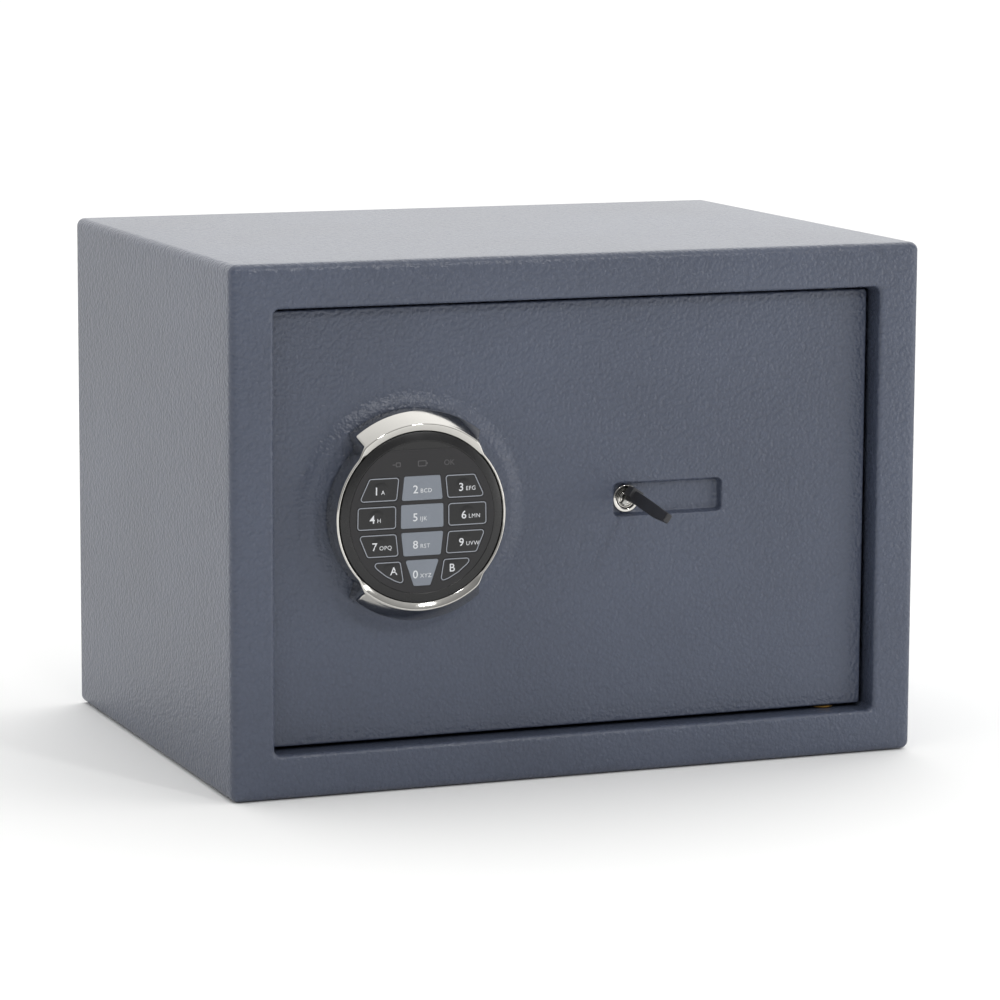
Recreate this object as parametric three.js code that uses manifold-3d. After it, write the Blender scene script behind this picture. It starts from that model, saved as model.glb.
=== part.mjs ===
// Compact electronic safe: a folded steel body, and a recessed door that carries a keypad inside a
// chromed turning ring, two round bolts, a blocking solenoid and an emergency key lock.
// Millimetres. +X right seen from the front, +Y to the back, +Z up. The origin is the centre of the
// body's underside.
import * as THREE from 'three';
import { mergeVertices } from 'three/addons/utils/BufferGeometryUtils.js';
import Module from 'manifold-3d';

const wasm = await Module();
wasm.setup();

// ---- driving dimensions ----
const GAP = 0.3;              // between faces that touch on the real safe
const BODY_W = 350;
const BODY_H = 250;
const BODY_D = 250;
const SHEET = 2;
const EDGE_R = 4;             // outer long edges
const FRONT_FILLET = 3.5;     // front edge, towards the frame face
const FRAME_W = 21;           // width of the front frame
const LIP_R = 3;              // corners of the doorway
const RETURN_DEEP = 34;       // top and bottom returns, which carry the hinge pins
const RETURN_SHALLOW = 18;    // side returns

const RECESS = 11;            // door face behind the frame face
const DOOR_GAP = 1.8;
const DOOR_T = 4;
const BOSS_R = 50;            // raised round seat under the dial ring
const BOSS_FOOT_R = 57;
const BOSS_H = 2.2;

const HINGE_X = 134.5;
const HINGE_BACK = 18;        // hinge axis behind the frame face
const PIN_R = 3;
const RUN = 0.4;              // running clearance of round parts

const FRAME_X = [-148, 124];  // folded tray behind the door plate
const FRAME_Z = [26, 224];
const FRAME_BACK = -72;
const COVER_T = 1.5;

const LOCK_Z = 130.5;         // height of the dial and of the key lock
const DIAL_X = -84;
const DIAL_R = 42;
const DIAL_CREST_R = 44.4;    // front rim at the two grips
const DIAL_GRIP_R = 49.6;     // foot of the two grips
const GRIP_WALL = 8;          // straight part of the grips' outer wall, above the seat
const FASCIA_R = 40.1;
const PAD_R = 36;
const DIAL_PROUD = 17.5;      // ring's front rim above the door face

const THROW = 17;             // bolt travel for a quarter turn of the ring
const BOLT_R = 9;
const BOLT_Z = [75, 175];
const BOLT_Y = -96;

const KEY_X = 27.5;           // axis of the emergency lock
const KEY_TILT = 0.588;       // the keyway leans to the right by 33.7 degrees
const POCKET = { x: 48.1, w: 55.8, h: 15.6, r: 2 };

// ---- places worked out from them ----
const FRONT = -BODY_D / 2;
const DOOR_FRONT = FRONT + RECESS;
const DOOR_BACK = DOOR_FRONT + DOOR_T;
const BEHIND_DOOR = DOOR_BACK + GAP;
const HINGE_Y = FRONT + HINGE_BACK;
const OPEN_W = BODY_W - 2 * FRAME_W;
const OPEN_H = BODY_H - 2 * FRAME_W;
const MID_Z = BODY_H / 2;
const RIM_Y = DOOR_FRONT - DIAL_PROUD;
const CRANK_R = THROW / 2 / Math.sin(Math.PI / 4);
const ANCHOR_R = 5;
const REAR_ANCHORS = [-75, 75];
const FLOOR_ANCHORS = [-100, 100];
const FLOOR_ANCHOR_Y = 40;

const finish = (color, roughness, metalness) =>
  new THREE.MeshStandardMaterial({ color, roughness, metalness });
const PAINT = finish(0x575d6b, 0.45, 0.2);
const ZINC = finish(0xa9adb0, 0.4, 0.9);
const CHROME = finish(0xd9dbdc, 0.1, 1);
const BLACK = finish(0x1c1c1e, 0.45, 0);
const PAD_BLACK = finish(0x232326, 0.4, 0);
const PAD_GREY = finish(0x8d949c, 0.5, 0);
const BRASS = finish(0xb08d4c, 0.35, 0.9);
const BOARD = finish(0x1f5a38, 0.5, 0);
const FELT = finish(0x2c2d31, 0.95, 0);
const RED = finish(0xb3261e, 0.4, 0);
const CELL = finish(0x2d3a4a, 0.4, 0.2);

// ---- solids ----
function solid(geometry) {
  const bare = geometry.index ? geometry.toNonIndexed() : geometry.clone();
  bare.deleteAttribute('normal');
  bare.deleteAttribute('uv');
  const merged = mergeVertices(bare, 1e-4);
  return new wasm.Manifold(new wasm.Mesh({
    numProp: 3,
    vertProperties: merged.attributes.position.array,
    triVerts: new Uint32Array(merged.index.array),
  }));
}

const join = (...parts) => parts.reduce((a, b) => a.add(b));
const cut = (base, ...tools) => tools.reduce((a, b) => a.subtract(b), base);

function box([x0, x1], [y0, y1], [z0, z1]) {
  const cuboid = new THREE.BoxGeometry(x1 - x0, y1 - y0, z1 - z0);
  return cuboid.translate((x0 + x1) / 2, (y0 + y1) / 2, (z0 + z1) / 2);
}

const block = (x, y, z) => solid(box(x, y, z));

// A round bar from one place to another along an axis; across holds its two other coordinates.
function bar(axis, r, [from, to], across, sides = 24) {
  const rod = new THREE.CylinderGeometry(r, r, to - from, sides);
  const mid = (from + to) / 2;
  if (axis === 'y') return solid(rod.translate(across[0], mid, across[1]));
  if (axis === 'x') return solid(rod.rotateZ(-Math.PI / 2).translate(mid, across[0], across[1]));
  return solid(rod.rotateX(Math.PI / 2).translate(across[0], across[1], mid));
}

// A shape drawn in X and Z, as thick as the span of Y it is given.
function plate(shape, [y0, y1], curveSegments = 5) {
  const slab = new THREE.ExtrudeGeometry(shape, {
    depth: y1 - y0, bevelEnabled: false, curveSegments,
  });
  return solid(slab.rotateX(Math.PI / 2).translate(0, y1, 0));
}

// Turned about an axis along Y through (x, z); the profile's points are [radius, y], with y rising.
function turned(profile, [x, z], sides = 48) {
  const points = profile.map(([r, y]) => new THREE.Vector2(r, y));
  return solid(new THREE.LatheGeometry(points, sides).translate(x, 0, z));
}

function roundedRect(w, h, r, cx = 0, cz = 0) {
  const s = new THREE.Shape();
  const right = cx + w / 2 - r;
  const left = cx - w / 2 + r;
  const top = cz + h / 2 - r;
  const low = cz - h / 2 + r;
  s.absarc(right, low, r, -Math.PI / 2, 0);
  s.absarc(right, top, r, 0, Math.PI / 2);
  s.absarc(left, top, r, Math.PI / 2, Math.PI);
  s.absarc(left, low, r, Math.PI, 1.5 * Math.PI);
  return s;
}

const polygon = (points) => new THREE.Shape(points.map(([x, z]) => new THREE.Vector2(x, z)));

// ---- the body ----
function doorwayReturns() {
  const outer = roundedRect(OPEN_W + 2 * SHEET, OPEN_H + 2 * SHEET, LIP_R + SHEET, 0, MID_Z);
  const inner = roundedRect(OPEN_W, OPEN_H, LIP_R, 0, MID_Z);
  const deep = [FRONT + SHEET / 2, FRONT + RETURN_DEEP];
  const tube = cut(plate(outer, deep), plate(inner, [deep[0] - 1, deep[1] + 1]));
  const behind = [FRONT + RETURN_SHALLOW, FRONT + RETURN_DEEP + 1];
  const notchZ = [FRAME_W + LIP_R + 1, BODY_H - FRAME_W - LIP_R - 1];
  const edge = OPEN_W / 2 - LIP_R;
  return cut(tube,
    block([-OPEN_W / 2 - 5, -edge], behind, notchZ),
    block([edge, OPEN_W / 2 + 5], behind, notchZ));
}

function bodyShell() {
  const outline = roundedRect(BODY_W, BODY_H, EDGE_R, 0, MID_Z);
  const wrap = new THREE.ExtrudeGeometry(outline, {
    depth: BODY_D, curveSegments: 4,
    bevelThickness: FRONT_FILLET, bevelSize: FRONT_FILLET, bevelOffset: -FRONT_FILLET, bevelSegments: 3,
  });
  wrap.rotateX(Math.PI / 2).translate(0, FRONT + FRONT_FILLET + BODY_D, 0);
  const back = block([-BODY_W, BODY_W], [BODY_D / 2, BODY_D], [-10, BODY_H + 10]);
  const inside = BODY_W / 2 - SHEET;
  const hollow = block([-inside, inside], [FRONT + SHEET, BODY_D / 2 + 1], [SHEET, BODY_H - SHEET]);
  const doorway = plate(roundedRect(OPEN_W, OPEN_H, LIP_R, 0, MID_Z), [FRONT - 1, FRONT + SHEET + 1]);
  const shell = join(cut(solid(wrap), back, hollow, doorway), doorwayReturns());
  const pinHoles = [FRAME_W, BODY_H - FRAME_W].map((z) =>
    bar('z', PIN_R + RUN, [z - 4, z + 4], [HINGE_X, HINGE_Y], 24));
  const anchors = FLOOR_ANCHORS.map((x) =>
    bar('z', ANCHOR_R, [-1, SHEET + 1], [x, FLOOR_ANCHOR_Y], 24));
  return cut(shell, ...pinHoles, ...anchors);
}

function rearPanel() {
  const x = BODY_W / 2 - SHEET - GAP;
  const y = [BODY_D / 2 - SHEET, BODY_D / 2];
  const panel = block([-x, x], y, [SHEET + GAP, BODY_H - SHEET - GAP]);
  const holes = REAR_ANCHORS.map((at) =>
    bar('y', ANCHOR_R, [y[0] - 1, y[1] + 1], [at, MID_Z], 24));
  return cut(panel, ...holes);
}

function floorMat() {
  const mat = block([-169, 169], [-98, 120], [SHEET + GAP, SHEET + GAP + 2.5]);
  const holes = FLOOR_ANCHORS.map((x) =>
    bar('z', ANCHOR_R + 4, [SHEET, 8], [x, FLOOR_ANCHOR_Y], 24));
  return cut(mat, ...holes);
}

// ---- the door ----
function doorPlate() {
  const w = OPEN_W - 2 * DOOR_GAP;
  const h = OPEN_H - 2 * DOOR_GAP;
  const slab = plate(roundedRect(w, h, 2, 0, MID_Z), [DOOR_FRONT, DOOR_BACK]);
  const boss = turned([[0, DOOR_FRONT - BOSS_H], [BOSS_R, DOOR_FRONT - BOSS_H],
    [BOSS_FOOT_R, DOOR_FRONT + 0.5], [0, DOOR_FRONT + 0.5]], [DIAL_X, LOCK_Z], 60);
  const through = [DOOR_FRONT - 5, DOOR_BACK + 1];
  const pocket = roundedRect(POCKET.w, POCKET.h, POCKET.r, POCKET.x, LOCK_Z);
  return cut(join(slab, boss), bar('y', 8.6, through, [DIAL_X, LOCK_Z]), plate(pocket, through));
}

function pocketPlate() {
  const y = [BEHIND_DOOR, BEHIND_DOOR + 2];
  const back = plate(roundedRect(POCKET.w + 16, POCKET.h + 16, 3, POCKET.x, LOCK_Z), y);
  return cut(back, bar('y', 6.2, [y[0] - 1, y[1] + 1], [KEY_X, LOCK_Z]));
}

function hingeBlock(z) {
  const body = block([HINGE_X - 7.5, HINGE_X + 7.5], [BEHIND_DOOR, HINGE_Y + 9], z);
  return cut(body, bar('z', PIN_R + GAP, [z[0] - 1, z[1] + 1], [HINGE_X, HINGE_Y], 24));
}

// A pin through the frame's return, with a head on the return's far side.
function hingePin(span, head) {
  return join(bar('z', PIN_R, span, [HINGE_X, HINGE_Y], 24), bar('z', 4.8, head, [HINGE_X, HINGE_Y], 24));
}

function hingeWasher() {
  const z = [FRAME_W + 0.15, FRAME_W + 1.15];
  return cut(bar('z', 6, z, [HINGE_X, HINGE_Y], 32),
    bar('z', PIN_R + GAP, [z[0] - 1, z[1] + 1], [HINGE_X, HINGE_Y], 24));
}

const SCREW_INSET = 7;
const screwPlaces = [
  [FRAME_X[0] + SCREW_INSET, FRAME_Z[0] + SCREW_INSET], [FRAME_X[1] - SCREW_INSET, FRAME_Z[0] + SCREW_INSET],
  [FRAME_X[0] + SCREW_INSET, FRAME_Z[1] - SCREW_INSET], [FRAME_X[1] - SCREW_INSET, FRAME_Z[1] - SCREW_INSET],
];

function doorFrame() {
  const [x0, x1] = FRAME_X;
  const [z0, z1] = FRAME_Z;
  const y = [BEHIND_DOOR, FRAME_BACK];
  const walls = cut(block([x0, x1], y, [z0, z1]),
    block([x0 + SHEET, x1 - SHEET], [y[0] - 1, y[1] + 1], [z0 + SHEET, z1 - SHEET]));
  const tabs = screwPlaces.map(([x, z]) =>
    block([x - SCREW_INSET, x + SCREW_INSET], [FRAME_BACK - SHEET, FRAME_BACK],
      [z - SCREW_INSET, z + SCREW_INSET]));
  const screwHoles = screwPlaces.map((at) => bar('y', 2, [FRAME_BACK - 4, FRAME_BACK + 1], at, 16));
  const boltHoles = BOLT_Z.map((z) => bar('x', BOLT_R + 0.5, [x0 - 1, x0 + SHEET + 1], [BOLT_Y, z]));
  return cut(join(walls, ...tabs), ...screwHoles, ...boltHoles);
}

const TRAY = { x: [43, 107], z: [44, 102], y: [-91, FRAME_BACK - GAP], wall: 1.5 };
const RESET = [100, 150];
const COVER_Y = [FRAME_BACK + GAP, FRAME_BACK + GAP + COVER_T];

function innerCover() {
  const through = [COVER_Y[0] - 1, COVER_Y[1] + 1];
  const sheet = block(FRAME_X, COVER_Y, FRAME_Z);
  const screwHoles = screwPlaces.map((at) => bar('y', 2.2, through, at, 16));
  const batteries = block([TRAY.x[0] + 3, TRAY.x[1] - 3], through, [TRAY.z[0] + 3, TRAY.z[1] - 3]);
  return cut(sheet, ...screwHoles, batteries, bar('y', 3.5, through, RESET, 20));
}

function coverScrew(at) {
  const under = COVER_Y[1] + GAP;
  const slot = block([at[0] - 3, at[0] + 3], [under + 1.5, under + 3], [at[1] - 0.5, at[1] + 0.5]);
  return cut(join(bar('y', 4, [under, under + 2.3], at, 20), bar('y', 1.5, [FRAME_BACK - 8, under + 1], at, 12)),
    slot);
}

// ---- the turning ring and its crank ----
// 1 within half the span of either grip, 0 on the plain round part, and a smooth step between.
function gripShare(angle, halfSpan, blend) {
  const off = Math.min(Math.abs(angle - Math.PI / 2), Math.abs(angle - 1.5 * Math.PI));
  const t = THREE.MathUtils.clamp((halfSpan + blend / 2 - off) / blend, 0, 1);
  return t * t * (3 - 2 * t);
}

const SPINDLE = { r: 7, bore: 5, end: -93 };

// The ring, its floor and its hollow spindle are one casting: a closed profile carried round the
// dial's axis, whose outer points move out over the two grips.
function dialRing() {
  const around = 84;
  const back = DOOR_FRONT - BOSS_H - 0.4;
  const inner = FASCIA_R + GAP;
  const profile = (angle) => {
    const foot = gripShare(angle, 0.71, 0.10);
    const crest = gripShare(angle, 0.76, 0.18);
    const footR = DIAL_R + 0.2 + (DIAL_GRIP_R - DIAL_R - 0.2) * foot;
    const crestR = DIAL_R + (DIAL_CREST_R - DIAL_R) * crest;
    return [[footR, back], [footR, back - GRIP_WALL], [crestR, RIM_Y + 0.9], [crestR - 0.8, RIM_Y],
      [inner, RIM_Y + 1.4],
      [inner, back - 3], [SPINDLE.bore, back - 3], [SPINDLE.bore, SPINDLE.end],
      [SPINDLE.r, SPINDLE.end], [SPINDLE.r, back]];
  };
  const rings = Array.from({ length: around }, (_, i) => profile((2 * Math.PI * i) / around));
  const positions = rings.flatMap((points, i) => {
    const angle = (2 * Math.PI * i) / around;
    return points.flatMap(([r, y]) => [DIAL_X + r * Math.cos(angle), y, LOCK_Z + r * Math.sin(angle)]);
  });
  const across = rings[0].length;
  const triangles = [];
  for (let i = 0; i < around; i++) {
    for (let j = 0; j < across; j++) {
      const here = i * across;
      const next = ((i + 1) % around) * across;
      const k = (j + 1) % across;
      triangles.push(here + j, next + j, here + k, here + k, next + j, next + k);
    }
  }
  const casting = new THREE.BufferGeometry();
  casting.setAttribute('position', new THREE.Float32BufferAttribute(positions, 3));
  casting.setIndex(triangles);
  return solid(casting);
}

const CRANK_Y = [-98, -95.5];
const BAR_Y = [-91.5, -88.5];

function crankPlate() {
  const disc = cut(bar('y', 16.5, CRANK_Y, [DIAL_X, LOCK_Z]),
    bar('y', SPINDLE.r + GAP, [CRANK_Y[0] - 1, CRANK_Y[1] + 1], [DIAL_X, LOCK_Z]));
  const offset = CRANK_R * Math.sin(Math.PI / 4);
  const pin = bar('y', 2.5, [CRANK_Y[1] - 1, BAR_Y[1] + 0.7], [DIAL_X + offset, LOCK_Z + offset], 24);
  return join(disc, pin);
}

function tube(outer, inner, [y0, y1], at, sides = 24) {
  return cut(bar('y', outer, [y0, y1], at, sides), bar('y', inner, [y0 - 1, y1 + 1], at, sides));
}

function spindleBush() {
  const sleeve = bar('y', 8.3, [DOOR_FRONT - BOSS_H - 0.1, BEHIND_DOOR + 3], [DIAL_X, LOCK_Z]);
  const flange = bar('y', 11, [BEHIND_DOOR, BEHIND_DOOR + 1.7], [DIAL_X, LOCK_Z]);
  return cut(join(sleeve, flange), bar('y', SPINDLE.r + GAP, [-120, -100], [DIAL_X, LOCK_Z]));
}

// ---- the keypad, which stays upright inside the ring ----
const HOUSING_BACK = DOOR_FRONT - BOSS_H - 0.4 - 3 - GAP;
const FASCIA_Y = [RIM_Y + 0.2, RIM_Y + 3.9];
const STEM = { r: 4.4, bore: 3, end: -79.8 };

function keypadHousing() {
  const outerR = FASCIA_R - 0.2;
  const cup = cut(bar('y', outerR, [FASCIA_Y[1] + GAP, HOUSING_BACK], [DIAL_X, LOCK_Z], 60),
    bar('y', outerR - 1.5, [FASCIA_Y[1] - 1, HOUSING_BACK - 2], [DIAL_X, LOCK_Z], 60));
  const stem = bar('y', STEM.r, [HOUSING_BACK - 1, STEM.end], [DIAL_X, LOCK_Z], 24);
  const bore = bar('y', STEM.bore, [HOUSING_BACK - 4, STEM.end + 1], [DIAL_X, LOCK_Z], 24);
  return cut(join(cup, stem), bore);
}

// Rows of the key field: top and bottom heights about the dial's centre, and the half width of the
// middle column at each. The outer keys run out to a circle.
const KEY_ROWS = [
  { z: [19.6, 8.0], half: [9.0, 10.3], keys: ['1', '2', '3'] },
  { z: [6.3, -5.1], half: [10.6, 10.7], keys: ['4', '5', '6'] },
  { z: [-6.8, -18.1], half: [10.6, 9.3], keys: ['7', '8', '9'] },
  { z: [-19.8, -32.3], half: [8.5, 4.2], keys: ['A', '0', 'B'] },
];
const KEY_FIELD_R = 32.8;
const COLUMN_GAP = 1.9;

function outerKey(row, side) {
  const [top, low] = row.z;
  const inner = row.half.map((w) => w + COLUMN_GAP);
  const reach = (z) => Math.sqrt(KEY_FIELD_R ** 2 - z ** 2);
  const points = [[inner[0], top], [reach(top), top]];
  if (row.keys[0] === 'A') {
    const from = Math.asin(top / KEY_FIELD_R);
    const to = Math.asin((low + 0.6) / KEY_FIELD_R);
    for (let i = 1; i < 5; i++) {
      const angle = from + ((to - from) * i) / 4;
      points.push([KEY_FIELD_R * Math.cos(angle), KEY_FIELD_R * Math.sin(angle)]);
    }
  } else {
    points.push([reach(low), low], [inner[1], low]);
  }
  const placed = points.map(([x, z]) => [side * x, z]);
  return side > 0 ? placed.reverse() : placed;
}

function middleKey(row) {
  const [top, low] = row.z;
  return [[-row.half[0], top], [-row.half[1], low], [row.half[1], low], [row.half[0], top]];
}

// Moves a convex outline in by an amount, along each corner's bisector.
function inset(points, by) {
  const n = points.length;
  return points.map((p, i) => {
    const before = new THREE.Vector2(...points[(i + n - 1) % n]).sub(new THREE.Vector2(...p)).normalize();
    const after = new THREE.Vector2(...points[(i + 1) % n]).sub(new THREE.Vector2(...p)).normalize();
    const bisector = before.clone().add(after).normalize();
    const sine = Math.abs(before.cross(bisector));
    return [p[0] + (bisector.x * by) / sine, p[1] + (bisector.y * by) / sine];
  });
}

function keyOutlines() {
  const outlines = {};
  for (const row of KEY_ROWS) {
    outlines[row.keys[0]] = outerKey(row, -1);
    outlines[row.keys[1]] = middleKey(row);
    outlines[row.keys[2]] = outerKey(row, 1);
  }
  return outlines;
}

const onDial = (points) => polygon(points.map(([x, z]) => [DIAL_X + x, LOCK_Z + z]));

function keypadFascia() {
  const [front, back] = FASCIA_Y;
  const disc = turned([[0, front], [PAD_R, front], [FASCIA_R, front + 1.1], [FASCIA_R, back], [0, back]],
    [DIAL_X, LOCK_Z], 60);
  const windows = Object.values(keyOutlines()).map((outline) => plate(onDial(outline), [front - 1, back + 1]));
  return cut(disc, ...windows);
}

function padKey(outline) {
  return plate(onDial(inset(outline, 0.3)), [FASCIA_Y[0], FASCIA_Y[1] + 0.9]);
}

function keypadBoard() {
  return tube(FASCIA_R - 2.1, STEM.bore, [FASCIA_Y[1] + 1.6, FASCIA_Y[1] + 3.2], [DIAL_X, LOCK_Z], 48);
}

function keypadBracket() {
  const x = [DIAL_X - 8, DIAL_X + 8];
  const bridge = [-86, -84];
  const reach = 25.5;
  const foot = 8;
  const strap = block(x, bridge, [LOCK_Z - reach, LOCK_Z + reach]);
  const sides = [-1, 1].flatMap((s) => {
    const edge = LOCK_Z + s * reach;
    const leg = [Math.min(edge, edge - s * SHEET), Math.max(edge, edge - s * SHEET)];
    const pad = [Math.min(edge - s, edge + s * foot), Math.max(edge - s, edge + s * foot)];
    return [block(x, [BEHIND_DOOR, bridge[1]], leg), block(x, [BEHIND_DOOR, BEHIND_DOOR + SHEET], pad)];
  });
  return cut(join(strap, ...sides), bar('y', STEM.r + RUN, [-88, -82], [DIAL_X, LOCK_Z], 24));
}

function hexNut(r, bore, y, at) {
  return cut(bar('y', r, y, at, 6), bar('y', bore, [y[0] - 1, y[1] + 1], at, 24));
}

// ---- the boltwork ----
const NOTCH = { depth: 6, half: 4.5 };
const PLUNGER = { x: -22, y: -90, r: 3.5, drop: 5.5 };
const ARM_TOP = 138;
const POST_X = -100.3;

function boltBar() {
  const spine = block([-128, -110], BAR_Y, [62, 188]);
  const arms = BOLT_Z.map((z) => block([-111, -72], BAR_Y, [z - 9, z + 9]));
  const middle = block([-111, -58], BAR_Y, [117, 150]);
  const tail = block([-59, 4], BAR_Y, [117, ARM_TOP]);
  const through = [BAR_Y[0] - 1, BAR_Y[1] + 1];
  const guideSlots = BOLT_Z.map((z) =>
    plate(roundedRect(24.6, 6.8, 3.3, POST_X - 3.7 + 12.3, z), through));
  const stemSlot = block([DIAL_X - 5.2, DIAL_X + THROW + 5.2], through, [LOCK_Z - 4.9, LOCK_Z + 4.9]);
  const pinAt = THROW / 2;
  const pinSlot = block([DIAL_X + pinAt - 3.2, DIAL_X + pinAt + 3.2], through, [LOCK_Z + 4, LOCK_Z + CRANK_R + 3.3]);
  const notches = [PLUNGER.x, PLUNGER.x + THROW].map((x) =>
    block([x - NOTCH.half, x + NOTCH.half], through, [ARM_TOP - NOTCH.depth, ARM_TOP + 1]));
  return cut(join(spine, ...arms, middle, tail), ...guideSlots, stemSlot, pinSlot, ...notches);
}

function bolt(z) {
  const round = bar('x', BOLT_R, [FRAME_X[0], -106], [BOLT_Y, z]);
  const seat = block([-129.5, -100], [BAR_Y[0] - GAP, BAR_Y[1] + 5], [z - 10, z + 10]);
  return cut(round, seat);
}

function guidePost(z) {
  return turned([[0, BEHIND_DOOR], [5, BEHIND_DOOR], [5, BAR_Y[0] - GAP], [PIN_R, BAR_Y[0] - GAP],
    [PIN_R, BAR_Y[1] + GAP], [5, BAR_Y[1] + GAP], [5, BAR_Y[1] + 2.3], [0, BAR_Y[1] + 2.3]], [POST_X, z], 24);
}

function solenoidFrame() {
  const x = [PLUNGER.x - 13, PLUNGER.x + 13];
  const strip = block(x, [BEHIND_DOOR, BEHIND_DOOR + SHEET], [146, 186]);
  const arms = [[146, 148], [184, 186]].map((z) => block(x, [BEHIND_DOOR, -79], z));
  return cut(join(strip, ...arms), bar('z', PLUNGER.r + RUN, [140, 190], [PLUNGER.x, PLUNGER.y], 24));
}

function solenoidCoil() {
  const winding = plate(roundedRect(22, 34, 2, PLUNGER.x, 166), [-103, -79.3]);
  return cut(winding, bar('z', PLUNGER.r + RUN, [140, 190], [PLUNGER.x, PLUNGER.y], 24));
}

// The crossbar on the plunger is what the key lock's cam lifts.
function solenoidPlunger() {
  const rod = bar('z', PLUNGER.r, [ARM_TOP + 0.6, 190], [PLUNGER.x, PLUNGER.y], 24);
  const crossbar = block([PLUNGER.x, 16], [BAR_Y[1] + 1, BAR_Y[1] + 3.5], [141, 144]);
  return join(rod, crossbar);
}

// ---- the emergency lock and its key ----
const LOCK_FACE = DOOR_BACK - 1.3;
const PLUG_R = 4.4;

// A shape drawn about the Y axis with its height along Z, leaned with the keyway and set on the lock.
const onKeyway = (shape) => solid(shape.rotateY(KEY_TILT).translate(KEY_X, 0, LOCK_Z));

function lockBarrel() {
  const at = [KEY_X, LOCK_Z];
  const flange = bar('y', 6.7, [LOCK_FACE, BEHIND_DOOR - GAP], at);
  return cut(join(flange, bar('y', 5.9, [LOCK_FACE, -90], at)), bar('y', PLUG_R + GAP, [-130, -80], at));
}

function lockPlug() {
  const at = [KEY_X, LOCK_Z];
  const plug = join(bar('y', PLUG_R, [LOCK_FACE + 0.2, -88], at, 24), bar('y', 2.5, [-89, -84.5], at, 16));
  return cut(plug, onKeyway(box([-1.3, 1.3], [LOCK_FACE - 1, -93], [-3.4, 3.4])));
}

function lockCam() {
  const arm = plate(roundedRect(9, 26, 4.4, KEY_X, LOCK_Z - 8.5), [-87.6, -85.3]);
  return cut(arm, bar('y', 2.8, [-90, -80], [KEY_X, LOCK_Z], 16));
}

function keyBlade() {
  const blade = onKeyway(box([-1, 1], [-112.2, -94.5], [-3.1, 3.1]));
  const tang = onKeyway(box([-0.8, 0.8], [-122, -112], [0.4, 2.9]));
  return join(blade, tang);
}

// A slim moulded grip, drawn from the side as [y, height about the lock's axis], with a thicker
// block at the lock's end.
function keyGrip() {
  const side = [[-113, 4.2], [-121, 4.9], [-131, 3.9], [-163.6, 0.1], [-163.2, -4.4], [-148, -4.1],
    [-139, -3.1], [-120, -1.0], [-113, -1.0]];
  const outline = new THREE.Shape(side.map(([y, z]) => new THREE.Vector2(y, z)));
  const slab = new THREE.ExtrudeGeometry(outline, {
    depth: 2.0, bevelThickness: 0.6, bevelSize: 0.6, bevelOffset: -0.6, bevelSegments: 1,
  });
  // The outline's first axis becomes Y, its second Z, and the thickness X.
  const turn = new THREE.Matrix4().makeBasis(
    new THREE.Vector3(0, 1, 0), new THREE.Vector3(0, 0, 1), new THREE.Vector3(1, 0, 0));
  const grip = onKeyway(slab.applyMatrix4(turn).translate(-1, 0, 0));
  const shoulder = onKeyway(box([-3.2, 3.2], [-119.5, -112.7], [0.9, 5.9]));
  return cut(join(grip, shoulder), onKeyway(box([-1.15, 1.15], [-122.4, -110], [0.05, 3.25])));
}

// ---- electronics inside the door ----
function controlBoard() {
  const card = block([46, 112], [-97, -95.4], [124, 172]);
  const legs = [[50, 168], [108, 168], [108, 128]].map((at) => bar('y', 2.5, [BEHIND_DOOR, -96], at, 16));
  const parts = [
    block([47, 57], [-96, -88], [126, 134]), block([66, 80], [-96, -92.5], [142, 156]),
    block([90, 106], [-96, -93.9], [158, 168]), block([60, 68], [-96, -91], [160, 168]),
  ];
  return join(card, ...legs, ...parts, bar('y', 5, [-96, -89], [78, 132], 20));
}

function resetButton() {
  return join(bar('y', 3, [-93.5, COVER_Y[1] + 1.6], RESET, 20), bar('y', 4.5, [-78, -76.5], RESET, 20));
}

function batteryTray() {
  const { x, y, z, wall } = TRAY;
  return cut(block(x, y, z),
    block([x[0] + wall, x[1] - wall], [y[0] + wall, y[1] + 1], [z[0] + wall, z[1] - wall]));
}

function battery(index) {
  const x = 75 + (index - 1.5) * 15.2;
  const up = index % 2 === 0;
  const can = [47, 97.5];
  const nub = up ? [can[1] - 1, can[1] + 1.2] : [can[0] - 1.2, can[0] + 1];
  return join(bar('z', 7, can, [x, -81.8], 24), bar('z', 2.6, nub, [x, -81.8], 16));
}

function batteryCover() {
  const y = [COVER_Y[1] + GAP, COVER_Y[1] + GAP + 1.8];
  const lid = block([43, 107], y, [43, 103]);
  const grooves = [52, 56, 60].map((z) => block([63, 87], [y[1] - 0.6, y[1] + 1], [z, z + 1.4]));
  return cut(lid, ...grooves);
}

function keypadCable() {
  const route = [
    [DIAL_X, -124, LOCK_Z], [DIAL_X, -108, LOCK_Z], [DIAL_X, -92, LOCK_Z], [DIAL_X, -83, LOCK_Z],
    [DIAL_X + 1.2, -77.5, LOCK_Z - 0.5], [DIAL_X + 6, -74.6, LOCK_Z - 2.5], [DIAL_X + 14, -74.2, LOCK_Z - 8],
    [DIAL_X + 34, -74.2, 112], [-15, -74.4, 109], [22, -75.5, 110], [42, -76.5, 119], [50.5, -78, 127.5],
    [52, -81.5, 130], [52, -84.5, 130], [52, -87.4, 130],
  ].map((p) => new THREE.Vector3(...p));
  const section = new THREE.Shape();
  section.absarc(0, 0, 1.6, 0, 2 * Math.PI);
  return solid(new THREE.ExtrudeGeometry(section, {
    steps: 36, curveSegments: 4, extrudePath: new THREE.CatmullRomCurve3(route),
  }));
}

// ---- the object ----
const safe = new THREE.Group();

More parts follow.
